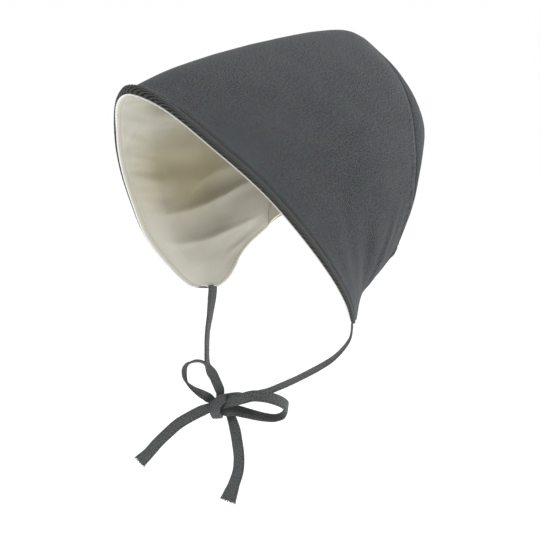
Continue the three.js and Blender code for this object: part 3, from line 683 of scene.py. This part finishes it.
def lining_hem(edge):
    """A row of stitches close to the edge pulls the lining in softly."""
    band = LINING_PULL * np.clip(LINING_BAND - edge, 0, 1)
    pulled = LINING_PULL * dip(edge - LINING_BAND, LINING_PULL_WIDTH)
    return band - pulled + LINING_SWELL * dip(edge - LINING_SWELL_PLACE, LINING_SWELL_WIDTH)


SAG_DEPTH, SAG_SIZE, SAG_FADE = 0.8, 24, 12
CRINKLE_DEPTH, CRINKLE_SIZE = 0.3, 9
CREASE_START, CREASE_FADE = 2, 5
lining_top = OUTER_CLOTH + CLOTH_GAP
lining_flat = lining_top + LINING_CLOTH
free_fade = inside_fade(np.minimum(main_back, 1 - np.abs(main_across)))
seam_fade = inside_fade(1 - main_back)
main_folds = np.maximum(0, LINING_SLACK + fold_heights(LINING_FOLDS) * seam_fade) * free_fade
lining_soft = SAG_DEPTH * ripple(main_skin, SAG_SIZE, 21) + CRINKLE_DEPTH * ripple(main_skin, CRINKLE_SIZE, 22)
main_fine = fold_heights(LINING_CREASES) * np.clip((main_edge - CREASE_START) / CREASE_FADE, 0, 1)
main_fine += lining_soft * np.clip(main_edge / SAG_FADE, 0, 1)
main_fine *= seam_fade
# The lining bridges the corner at the foot of the seam instead of following it.
BRIDGE, MAIN_BRIDGE_SPAN, BACK_BRIDGE_SPAN = 2.6, 14, 42
BRIDGE_FROM, BRIDGE_GROWTH = 0.7, 0.25
BRIDGE_TO, BRIDGE_EASE, BRIDGE_LEAST = 1.02, 0.1, 0.3


def bridge(away, down, span):
    foot = np.clip((down - BRIDGE_FROM) / BRIDGE_GROWTH, 0, 1)
    tip = np.clip((BRIDGE_TO - down) / BRIDGE_EASE, BRIDGE_LEAST, 1)
    return BRIDGE * np.clip(1 - away / span, 0, 1) ** 2 * foot * tip


LINING_ROUNDING, LINING_PUCKERS = 1.3, 0.6
BACK_SAG_DEPTH, BACK_SAG_SIZE, BACK_SAG_FADE, BACK_SEAM_FADE = 0.5, 20, 10, 8
main_loose = np.maximum(0, main_folds + main_fine) + bridge(to_seam, np.abs(main_across), MAIN_BRIDGE_SPAN)
main_under = lining_flat + main_loose + lining_hem(main_edge) - rounding(main_edge, LINING_ROUNDING)
main_under += LINING_PUCKERS * puckers(main_skin, main_edge, 8) * seam_fade
back_sag = BACK_SAG_DEPTH * ripple(back_skin, BACK_SAG_SIZE, 23)
back_soft = np.maximum(0, back_sag * np.clip(back_edge / BACK_SAG_FADE, 0, 1))
back_soft *= np.clip(back_to_seam / BACK_SEAM_FADE, 0, 1)
back_soft += LINING_SLACK * inside_fade(1 - back_down) + bridge(back_to_seam, back_down, BACK_BRIDGE_SPAN)
back_under = lining_flat + back_soft + lining_hem(back_edge) - rounding(back_edge, LINING_ROUNDING)
SHALLOWEST_INSIDE, LEAST_SATEEN = 1.62, 0.15
main_under, back_under = np.maximum(main_under, SHALLOWEST_INSIDE), np.maximum(back_under, SHALLOWEST_INSIDE)
SHADE_MOST, SHADE_START, SHADE_SPAN = 0.6, 2, 18
SHADE_DRIFT, SHADE_PATCH, SHADOW_SHADE = 4, 14, 0.4
BACK_SHADOW, BACK_SHADOW_SPAN = 0.5, 30


def depth_shade(edge, skin):
    """How much less light the cloth gets further in from the free edge."""
    return SHADE_MOST * np.clip((edge + SHADE_DRIFT * ripple(skin, SHADE_PATCH, 31) - SHADE_START) / SHADE_SPAN, 0, 1)


main_shadow = np.clip(fold_heights(LINING_SHADOWS), 0, 1)
# Painted shade: the lining is darkened further in from its free edge and behind its folds. This mask reaches the
# material as deep.
main_depth_shade = np.clip(depth_shade(main_edge, main_skin) + SHADOW_SHADE * main_shadow, 0, 1)
back_depth_shade = depth_shade(back_edge, back_skin)

LINING_DARK = (0.555, 0.54, 0.47)
LINING_LIGHT = (0.75, 0.733, 0.65)
LINING_WEAVE = (0.55, 0.4, 0.3, 0.25)
# Painted shade: the colours that multiply the lining further in and, warmer, behind its folds.
DEPTH_SHADE_TINT, SHADOW_TINT = (0.6, 0.59, 0.56), (1.0, 0.935, 0.74)
# Painted highlight: the lining's very edge, where it shows beyond the outer cloth, is painted paler than the sateen.
RIM_WIDTH, RIM_HIGHLIGHT = 0.6, (0.92, 0.91, 0.87)
lining_sateen = cloth_material(
    "lining sateen", LINING_DARK, LINING_LIGHT, LINING_WEAVE,
    bump=0.2, roughness=0.6, sheen=0.2, cloud=0.15, fleck=0.1,
    shade_tints=(("deep", DEPTH_SHADE_TINT), ("shadow", SHADOW_TINT)), rim_highlight=(RIM_WIDTH, RIM_HIGHLIGHT),
)
# The edge of the lining shows beyond the outer one on the left, in small scallops where the edge is gathered,
# and lies back behind it on the right, less so further down.
PEEK, PEEK_FADE = 0.4, 1.2
FAR_SHIFT, FAR_GROWTH = 1.0, 4
FAR_EASE_START, FAR_EASE, FAR_LEAST = 1.3, 1.2, 0.45
SCALLOP, SCALLOP_PITCH, SCALLOP_SPAN = 0.8, 3.1, 36
scallops = SCALLOP * np.abs(np.sin(np.pi * main_along / SCALLOP_PITCH)) * dip(main_along, SCALLOP_SPAN)
near_rim = np.clip(1 - main_back * row_lengths / PEEK_FADE, 0, 1)
far_ease = np.clip(FAR_EASE_START + FAR_EASE * main_across, FAR_LEAST, 1)
far_shift = FAR_SHIFT * np.clip(-FAR_GROWTH * main_across, 0, 1) * far_ease
peek = PEEK - far_shift + scallops
lining_skin = main_skin - (peek * near_rim)[..., None] * unit(np.gradient(main_skin, axis=1))
lining_main = wall_piece(
    "lining_main_panel", lining_skin, main_out, np.minimum(main_under - LEAST_SATEEN, lining_top + main_loose),
    main_under, lining_sateen, False, edge=main_edge, deep=main_depth_shade, shadow=main_shadow,
)
lining_back = wall_piece(
    "lining_back_panel", back_skin, back_out, np.minimum(back_under - LEAST_SATEEN, lining_top + back_soft),
    back_under, lining_sateen, True, edge=back_edge, deep=back_depth_shade,
    shadow=BACK_SHADOW * np.clip(back_to_seam / BACK_SHADOW_SPAN, 0, 1),
)
for piece, node, cut, area in (
    (lining_main, "lining_main", MAIN_CUT, MAIN_AREA),
    (lining_back, "lining_back", BACK_CUT, BACK_AREA),
):
    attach(piece, "root")
    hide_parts(node)

# Stitches. Rows of thread hold the turned edge, charcoal outside and cream on the lining. Each stitch is a short
# thread with both ends sunk into the cloth.
STITCH_PITCH, STITCH_LENGTH, STITCH_RADIUS = 2.3, 1.6, 0.16
STITCH_SIDES, STITCH_SINK, STITCH_AHEAD = 6, 0.06, 0.5
# along its length, thickness
STITCH_RINGS = ((-0.5, 0.35), (-0.3, 1), (0.3, 1), (0.5, 0.35))
DARK_THREAD, PALE_THREAD = (0.03, 0.032, 0.035), (0.38, 0.33, 0.25)
THREAD_TWIST, THREAD_SHADE, THREAD_ROUGHNESS = 900, 0.7, 0.7


def thread_material(name, colour):
    material = bpy.data.materials.new(name)
    material.use_nodes = True
    nodes, links = material.node_tree.nodes, material.node_tree.links
    shader = nodes["Principled BSDF"]
    shader.inputs["Roughness"].default_value = THREAD_ROUGHNESS
    shader.inputs["Specular IOR Level"].default_value = CLOTH_SPECULAR
    twist = nodes.new("ShaderNodeTexWave")
    twist.inputs["Scale"].default_value = THREAD_TWIST
    twist.inputs["Distortion"].default_value = 2
    links.new(nodes.new("ShaderNodeTexCoord").outputs["Object"], twist.inputs["Vector"])
    tint = nodes.new("ShaderNodeMix")
    tint.data_type = "RGBA"
    tint.inputs["A"].default_value = (*[c * THREAD_SHADE for c in colour], 1)
    tint.inputs["B"].default_value = (*colour, 1)
    links.new(twist.outputs["Fac"], tint.inputs["Factor"])
    links.new(tint.outputs["Result"], shader.inputs["Base Color"])
    return material


def stitch_row(line, normals, sink):
    """Places of the stitches along a line: middle, way and out."""
    lengths = run_lengths(line)
    at = np.arange(STITCH_PITCH / 2, lengths[-1], STITCH_PITCH)
    middles = read_line(line, lengths, at)
    ways = unit(read_line(line, lengths, at + STITCH_AHEAD) - middles)
    outs = unit(read_line(normals, lengths, at))
    return middles - outs * sink, ways, outs


def stitches(name, rows, material):
    """All the stitches of some rows as one piece."""
    around = np.linspace(0, 2 * math.pi, STITCH_SIDES, endpoint=False)
    far_ring = STITCH_SIDES * (len(STITCH_RINGS) - 1)
    points, faces = [], []
    for middles, ways, outs in rows:
        sides = np.cross(ways, outs)
        for middle, way, out, aside in zip(middles, ways, outs, sides):
            base = len(points)
            for share, size in STITCH_RINGS:
                for turn in around:
                    off = math.cos(turn) * aside + math.sin(turn) * out
                    points.append(middle + way * share * STITCH_LENGTH + off * STITCH_RADIUS * size)
            for k in range(len(STITCH_RINGS) - 1):
                ring = base + STITCH_SIDES * k
                for j in range(STITCH_SIDES):
                    a, b = ring + j, ring + (j + 1) % STITCH_SIDES
                    faces.append((a, b, b + STITCH_SIDES, a + STITCH_SIDES))
            faces.append([base + j for j in reversed(range(STITCH_SIDES))])
            faces.append([base + far_ring + j for j in range(STITCH_SIDES)])
    piece = cloth_mesh(name, points, faces, np.zeros((len(points), 2)), material)
    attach(piece, "root")
    return piece


def edge_rows(station, main_depth, back_depth, sign):
    """Lines that follow the free edge at one of its stations, on the outside or on the inside."""
    main_face = main_skin - main_out * main_depth[..., None]
    back_face = back_skin - back_out * back_depth[..., None]
    last = len(main_rows) - 1 - station
    around = [(station, c) for c in range(main_skin.shape[1] - 1, station, -1)]
    around += [(r, station) for r in range(station, last + 1)]
    around += [(last, c) for c in range(station + 1, main_skin.shape[1])]
    r, c = np.array(around).T
    nape = len(half_rows) - 1 - station
    return [(main_face[r, c], main_out[r, c] * sign), (back_face[nape], back_out[nape] * sign)]


dark_thread = thread_material("charcoal thread", DARK_THREAD)
pale_thread = thread_material("cream thread", PALE_THREAD)
outer_lines = edge_rows(OUTER_STITCH, main_top, back_top, 1)
lining_lines = edge_rows(LINING_STITCH, main_under, back_under, -1)
outer_rows = [stitch_row(line, out, STITCH_SINK) for line, out in outer_lines]
lining_rows = [stitch_row(line, out, STITCH_SINK) for line, out in lining_lines]
stitches("outer_stitches", outer_rows, dark_thread)
stitches("lining_stitches", lining_rows, pale_thread)

# Ties. Each is a strip of the outer twill, folded to 6.6 mm and stitched along one edge. It is sewn into
# the tip of an ear flap and knotted with the other one in a bow, and its cut end is a little frayed.
TIE_WIDTH, TIE_CLOTH = 6.6, 1.2
TIE_TUCK = 2.5
TIE_SEAT, TIE_SEAT_DROP = 0.035, 0.6
flap_place = main_surface(np.array(-1.0), np.array(TIE_SEAT))
RIGHT_SEAT = flap_place + (OUTER_CLOTH + CLOTH_GAP / 2, 0, -TIE_SEAT_DROP)
LEFT_SEAT = RIGHT_SEAT * (-1, 1, 1)
KNOT_FROM_SEAT = (15, -5.5, -65)
KNOT = RIGHT_SEAT + KNOT_FROM_SEAT
BOW_TURN = math.radians(40)
BOW_AXES = np.array(
    (
        (math.cos(BOW_TURN), math.sin(BOW_TURN), 0),
        (0, 0, 1),
        (math.sin(BOW_TURN), -math.cos(BOW_TURN), 0),
    )
)
STEPS_PER_ROW = 14

# along, aside, sag, behind, and the way that the width points: right, up, near
RIGHT_STRAP = (
    (0, 0, 0, 0, -0.64, 0, 0.77),
    (0.1, 0.6, 0, 0, -0.62, 0, 0.78),
    (0.28, 2, 0, 0, -0.4, 0, 0.9),
    (0.48, 3.8, 0, 0, -0.26, 0, 1),
    (0.66, 4.4, 0, 0, -0.22, 0, 1),
    (0.8, 4.4, 0, 0, -0.22, 0, 1),
    (0.92, 3, 0, 0, -0.35, -0.05, 0.93),
)
LEFT_STRAP = (
    (0, 0, 0, 0, -0.02, 0, -1),
    (0.01, -0.5, 4.4, 0, -0.02, 0, -1),
    (0.03, -0.9, 8.2, 0, -0.02, 0, -1),
    (0.08, -0.9, 11.2, 0, 0, 0.1, -0.98),
    (0.16, -0.5, 13.4, 0, 0, 0.18, -0.96),
    (0.27, 0, 14, 2, 0, 0.2, -0.96),
    (0.4, 0, 13.4, 5, 0, 0.2, -0.96),
    (0.54, 0, 12.6, 9, 0.05, 0.25, -0.95),
    (0.68, 0, 11, 12, 0.1, 0.35, -0.93),
    (0.82, 0, 7.8, 10, 0.2, 0.5, -0.85),
)
# right, up, near, gather, and the way that the width points: right, up, near
RIGHT_BOW = (
    (-5.6, 13, -3.2, 0.85, -0.6, -0.15, 0.75),
    (-3.4, 7, -3.8, 0.6, 0.95, 0.1, 0.2),
    (-3.4, 1, -3.4, 0.5, 1, 0, 0.2),
    (-2.4, -3.4, -0.8, 0.5, 0.8, 0.5, -0.05),
    (0.5, -4.5, 1.6, 0.85, 0.1, 1, -0.1),
    (6.4, -4.2, 0.8, 1, 0, 1, -0.15),
    (12.1, -5.8, -0.6, 1, 0, 0.8, -0.6),
    (17.8, -7.9, -3, 1, 0, 0.68, -0.73),
    (23.5, -9.9, -6, 1, -0.05, 0.52, -0.85),
    (29.3, -10.8, -8, 1, -0.1, 0.42, -0.9),
    (33.2, -9.2, -7.4, 1, -0.25, 0.3, -0.92),
    (35.9, -5.2, -4.3, 1, 0, 0.7, -0.65),
    (36.8, -1.4, -0.6, 1, 0.1, 0.85, -0.5),
    (34.4, 2, 3, 1, 0.1, 0.85, -0.45),
    (29.3, 5, 6, 1, 0.1, 0.88, -0.4),
    (23.5, 6.7, 7.5, 1, 0.05, 0.92, -0.33),
    (17.5, 6.8, 7.4, 1, -0.15, 1, -0.2),
    (10, 4.5, 6.6, 1, -0.2, 1, 0),
    (3.5, 2.3, 5.4, 0.95, -0.25, 1, 0),
    (-1.5, 0.5, 4.6, 0.85, -0.3, 1, 0),
    (-7, -1.5, 3.8, 0.8, -0.35, 1, 0),
    (-12.5, -4, 3.2, 1, -0.4, 1, 0),
    (-20, -8, 3.6, 1, -0.5, 1, 0),
    (-27, -12.5, 4.2, 1, -0.6, 1, 0),
    (-33, -18, 4.8, 1, -0.7, 1, 0.1),
    (-39, -24, 5.2, 1, -0.8, 1, 0.1),
    (-44, -30, 5.2, 1, -0.85, 1, 0.1),
    (-49.5, -35.5, 5.2, 1.22, -0.9, 1, 0.1),
)
LEFT_BOW = (
    (11.5, 2, -5.6, 0.8, 0.3, 1, 0),
    (8.5, 3.2, -4.2, 0.7, 0.2, 1, 0.1),
    (6.6, 4.2, -0.8, 0.7, 0.2, 1, 0.1),
    (2.4, 4.8, 4.6, 0.75, 0, 1, 0),
    (-1.3, 3.9, 7.2, 0.88, -0.55, 0.85, 0),
    (-3.9, 1, 8, 0.95, -0.93, 0.36, 0),
    (-4.7, -3, 7.3, 0.92, -1, -0.05, 0),
    (-3.8, -7.2, 4.3, 0.88, -1, -0.15, 0.1),
    (-3.2, -8.3, -1.4, 0.7, -1, 0, 0),
    (-4, -4, -4.8, 0.5, -0.85, -0.5, 0),
    (-7.5, 0, -4.4, 0.7, -0.65, -0.75, 0),
    (-11.5, 3, -3.2, 1, 0.4, -0.75, 0.5),
    (-17.8, 7.2, -1.6, 1, 0.45, -0.5, 0.75),
    (-22.2, 12.4, 0.6, 1, 0.5, -0.3, 0.8),
    (-23, 19, 2, 1, 0.5, 0, 0.85),
    (-20.5, 24, 3.2, 1, 0.3, 0.3, 0.9),
    (-15, 26, 3.4, 1, 0, 0.4, 0.9),
    (-10.5, 24.5, 3, 1, 0.3, 0.38, 0.87),
    (-7, 20, 2.4, 1, 0.75, 0.35, 0.55),
    (-4.7, 14.2, 2, 0.92, 0.95, 0.3, 0.2),
    (-2.5, 8.5, 1.6, 0.88, 1, 0.3, 0),
    (-1.5, 3, 0.8, 0.5, 1, 0.25, 0),
    (0.5, -2, -2, 0.5, 1, 0.25, 0),
    (3, -7.5, -3.2, 0.8, 1, 0.25, 0),
    (6, -16.5, -2, 1, 1, 0.15, 0),
    (7.5, -24.5, -1, 1, 1, 0.05, 0),
    (8.5, -33, -0.6, 1, 1, 0, 0),
    (8, -41.5, 0, 1, 1, -0.05, 0),
    (5.6, -49.5, 0, 1.05, 1, -0.3, 0),
    (1.9, -60, 0, 1.45, 1, -0.5, 0),
)


def tie_line(seat, strap, bow):
    """Centres, the way the width points, and the gather of one tie, from the flap to the cut end."""
    bow = np.array(bow)
    strap = np.array(strap)
    bow_points = bow[:, :3] @ BOW_AXES + KNOT
    strap_points = seat + (bow_points[0] - seat) * strap[:, :1] - strap[:, 1:4] @ BOW_AXES
    tucked = seat + (0, 0, TIE_TUCK)
    centres = smooth_line(np.vstack([tucked, strap_points, bow_points]), STEPS_PER_ROW)
    ways = unit(np.vstack([strap[:1, 4:], strap[:, 4:], bow[:, 4:]]) @ BOW_AXES)
    for k in range(1, len(ways)):
        if ways[k] @ ways[k - 1] < 0:
            ways[k] *= -1
    gathers = np.concatenate([np.ones(len(strap) + 1), bow[:, 3]])
    rows = np.arange(len(centres)) / STEPS_PER_ROW
    known = np.arange(len(ways))
    ways = read_line(ways, known, rows)
    gathers = np.interp(rows, known, gathers)
    tangents = unit(np.gradient(centres, axis=0))
    ways = unit(ways - tangents * (ways * tangents).sum(axis=1, keepdims=True))
    return centres, tangents, ways, gathers


# The section's points and how square its edges are, the stitches' place and dent, how the strip fills out where
# it is gathered or knotted, how its width drifts, and how far its end is ragged.
ACROSS_POINTS, EDGE_SQUARENESS, EDGE_LEAST = 21, 7, 0.06
STITCH_INSET, STITCH_RISE, STITCH_DENT, STITCH_DENT_WIDTH = 0.33, 0.34, 0.34, 0.045
GATHER_FILL, KNOT_SIZE, KNOT_PLUMP = 0.35, 9, 0.9
WIDTH_DRIFT, DRIFT_SIZE = 0.02, 9
RAGGED, RAGGED_SPAN, RAGGED_SIZE, RAGGED_GROWTH = 1.1, 3, 0.9, 4
UNDERSIDE_SHIFT = 20
TIE_DARK, TIE_LIGHT = (0.024, 0.027, 0.028), (0.17, 0.178, 0.178)
TIE_WEAVE = (0.8, 1.0, 0.3, 0.55)
SHADED_TINT = (0.36, 0.36, 0.36)
tie_twill = cloth_material(
    "tie twill", TIE_DARK, TIE_LIGHT, TIE_WEAVE, bump=0.7, roughness=0.85, sheen=0.1, cloud=0.2, fleck=0.5,
    shade_tints=(("shaded", SHADED_TINT),),
)
# Where the bow gets little light. Middle and size as (right, up, near), the fall of up and near along right,
# and how dark: the lower run of the right loop, under the wrap, the top of the tail, and inside the left loop.
SHADED_PLACES = (
    ((13, -4.8, -2.5), (20, 3.5, 3.5), (-0.33, -0.35), 1.7),
    ((0.3, 1.2, 5.6), (3, 3, 1.3), (2, 0), 1.6),
    ((3, -9, -3), (3.5, 3.5, 3), (0, 0), 1),
    ((-22, 14, 1), (6, 10, 6), (0, 0), 0.9),
)


def shaded(points):
    """How dark the ties are at each point of the bow."""
    dark = np.zeros(points.shape[:-1])
    for middle, size, fall, strength in SHADED_PLACES:
        away = (points - KNOT) @ BOW_AXES.T - middle
        away[..., 1:] -= away[..., :1] * fall
        dark = np.maximum(dark, strength * np.exp(-((away / size) ** 2).sum(axis=-1)))
    return np.minimum(dark, 1)


across_share = -0.5 * np.cos(np.linspace(0, math.pi, ACROSS_POINTS))


def tie_piece(name, line, seed):
    """A folded strip with rounded edges, a dent along its stitches and a slightly ragged, flared end."""
    centres, tangents, ways, gathers = line
    faces_out = np.cross(tangents, ways)
    lengths = run_lengths(centres)
    round_edge = np.sqrt(np.maximum(0, 1 - np.abs(2 * across_share) ** EDGE_SQUARENESS))
    dent = 1 - STITCH_DENT * dip(across_share - STITCH_INSET, STITCH_DENT_WIDTH)
    half = 0.5 * TIE_CLOTH * (round_edge * dent + EDGE_LEAST)
    upper = np.stack([across_share, half], axis=1)
    lower = np.stack([across_share[::-1], -half[::-1]], axis=1)
    section = np.vstack([upper, lower[1:-1]])
    widths = TIE_WIDTH * (gathers + WIDTH_DRIFT * ripple(centres, DRIFT_SIZE, seed))
    knotted = dip(np.linalg.norm(centres - KNOT, axis=1), KNOT_SIZE)
    fill = 1 + GATHER_FILL * (1 - np.minimum(1, gathers)) + KNOT_PLUMP * knotted
    points = (
        centres[:, None]
        + ways[:, None] * (section[None, :, :1] * widths[:, None, None])
        + faces_out[:, None] * (section[None, :, 1:] * fill[:, None, None])
    )
    end = np.clip((lengths - lengths[-1] + RAGGED_SPAN) / RAGGED_SPAN, 0, 1)
    ragged = ripple(points, RAGGED_SIZE, seed + 3)
    points += tangents[:, None] * (end**RAGGED_GROWTH)[:, None, None] * RAGGED * ragged[..., None]
    rings, around = points.shape[:2]
    grid = np.arange(rings * around).reshape(rings, around)
    turned = np.roll(grid, -1, axis=1)
    faces = np.stack([grid[:-1], turned[:-1], turned[1:], grid[1:]], axis=-1).reshape(-1, 4).tolist()
    faces += [grid[0][::-1].tolist(), grid[-1].tolist()]
    uvs = np.empty((rings, around, 2))
    uvs[..., 0] = section[:, 0] * TIE_WIDTH + np.where(np.arange(around) < len(upper), 0, UNDERSIDE_SHIFT)
    uvs[..., 1] = lengths[:, None]
    tie = cloth_mesh(
        name, points.reshape(-1, 3), faces, uvs.reshape(-1, 2), tie_twill, shaded=shaded(points).ravel()
    )
    return tie, float(lengths[-1])


right_line = tie_line(RIGHT_SEAT, RIGHT_STRAP, RIGHT_BOW)
left_line = tie_line(LEFT_SEAT, LEFT_STRAP, LEFT_BOW)
right_tie, right_length = tie_piece("right_tie", right_line, 1)
left_tie, left_length = tie_piece("left_tie", left_line, 2)


FRAY_THREADS, FRAY_LIFT, FRAY_LEAN, FRAY_REACH = 16, 0.4, 0.7, 0.7


def frayed_end(line, seed):
    """Loose thread ends that stand out of the cut end: middle, way and out, like stitches."""
    centres, tangents, ways, gathers = (values[-1] for values in line)
    random = np.random.default_rng(seed)
    across = np.linspace(-0.5, 0.5, FRAY_THREADS)[:, None] * TIE_WIDTH * gathers
    out = np.cross(tangents, ways)
    lift = random.uniform(-FRAY_LIFT, FRAY_LIFT, (FRAY_THREADS, 1)) * TIE_CLOTH
    lean = random.uniform(-FRAY_LEAN, FRAY_LEAN, (FRAY_THREADS, 2))
    leads = unit(tangents + lean[:, :1] * ways + lean[:, 1:] * out)
    middles = centres + across * ways + lift * out + random.uniform(0, FRAY_REACH, (FRAY_THREADS, 1)) * leads
    return middles, leads, np.broadcast_to(out, leads.shape)


tie_rows = [frayed_end(right_line, 41), frayed_end(left_line, 42)]
for tie, node, seat, line, length in (
    (right_tie, "tie_right", RIGHT_SEAT, right_line, right_length),
    (left_tie, "tie_left", LEFT_SEAT, left_line, left_length),
):
    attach(tie, "root")
    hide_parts(node)
    centres, tangents, ways, gathers = line
    row = centres + ways * (TIE_WIDTH * STITCH_INSET * gathers)[:, None]
    for sign in (1, -1):
        out = np.cross(tangents, ways) * sign
        tie_rows.append(stitch_row(row + out * STITCH_RISE * TIE_CLOTH, out, 0))
stitches("tie_stitches", tie_rows, dark_thread)

# Floor, lights and sky. A plain pale floor well under the hanging bonnet, and soft studio light.
FLOOR_DROP, FLOOR_SIZE = 0.62, 30
FLOOR_COLOUR, FLOOR_ROUGHNESS = (0.98, 0.98, 0.98, 1), 0.9
bpy.ops.object.select_all(action="DESELECT")
bpy.ops.mesh.primitive_plane_add(size=FLOOR_SIZE, location=(0, 0, 0))
floor = bpy.context.active_object
floor.name = "floor"
for vertex in floor.data.vertices:
    vertex.co.z = -FLOOR_DROP
pale = bpy.data.materials.new("pale floor")
pale.use_nodes = True
pale.node_tree.nodes["Principled BSDF"].inputs["Base Color"].default_value = FLOOR_COLOUR
pale.node_tree.nodes["Principled BSDF"].inputs["Roughness"].default_value = FLOOR_ROUGHNESS
floor.data.materials.append(pale)

LIT = Vector((0, -30, -110)) * MM
for name, place, size, watts in (
    ("side", Vector((1.4, 0.7, 0.1)), 0.9, 6),
    ("back", Vector((0.3, 1.0, 1.1)), 0.9, 13),
):
    data = bpy.data.lights.new(name, "AREA")
    data.shape = "SQUARE"
    data.size = size
    data.energy = watts
    lamp = bpy.data.objects.new(name, data)
    bpy.context.collection.objects.link(lamp)
    lamp.location = place
    lamp.rotation_mode = "QUATERNION"
    lamp.rotation_quaternion = (LIT - place).to_track_quat("-Z", "Y")
# The white room gives less light from the front left.
ROOM_LIGHT, DIM_LIGHT, DIM_START = 1.18, 0.42, 0.2
DIM_SIDE = (0.6917, -0.6917, 0.2079)
world = bpy.data.worlds.new("studio")
bpy.context.scene.world = world
world.use_nodes = True
sky_nodes, sky_links = world.node_tree.nodes, world.node_tree.links
facing = sky_nodes.new("ShaderNodeVectorMath")
facing.operation = "DOT_PRODUCT"
facing.inputs[1].default_value = DIM_SIDE
sky_links.new(sky_nodes.new("ShaderNodeTexCoord").outputs["Generated"], facing.inputs[0])
room = sky_nodes.new("ShaderNodeMapRange")
room.inputs["From Min"].default_value = DIM_START
room.inputs["To Min"].default_value = ROOM_LIGHT
room.inputs["To Max"].default_value = DIM_LIGHT
sky_links.new(facing.outputs["Value"], room.inputs["Value"])
sky_nodes["Background"].inputs["Color"].default_value = (1, 1, 1, 1)
sky_links.new(room.outputs["Result"], sky_nodes["Background"].inputs["Strength"])
bpy.context.scene.view_settings.view_transform = "Standard"
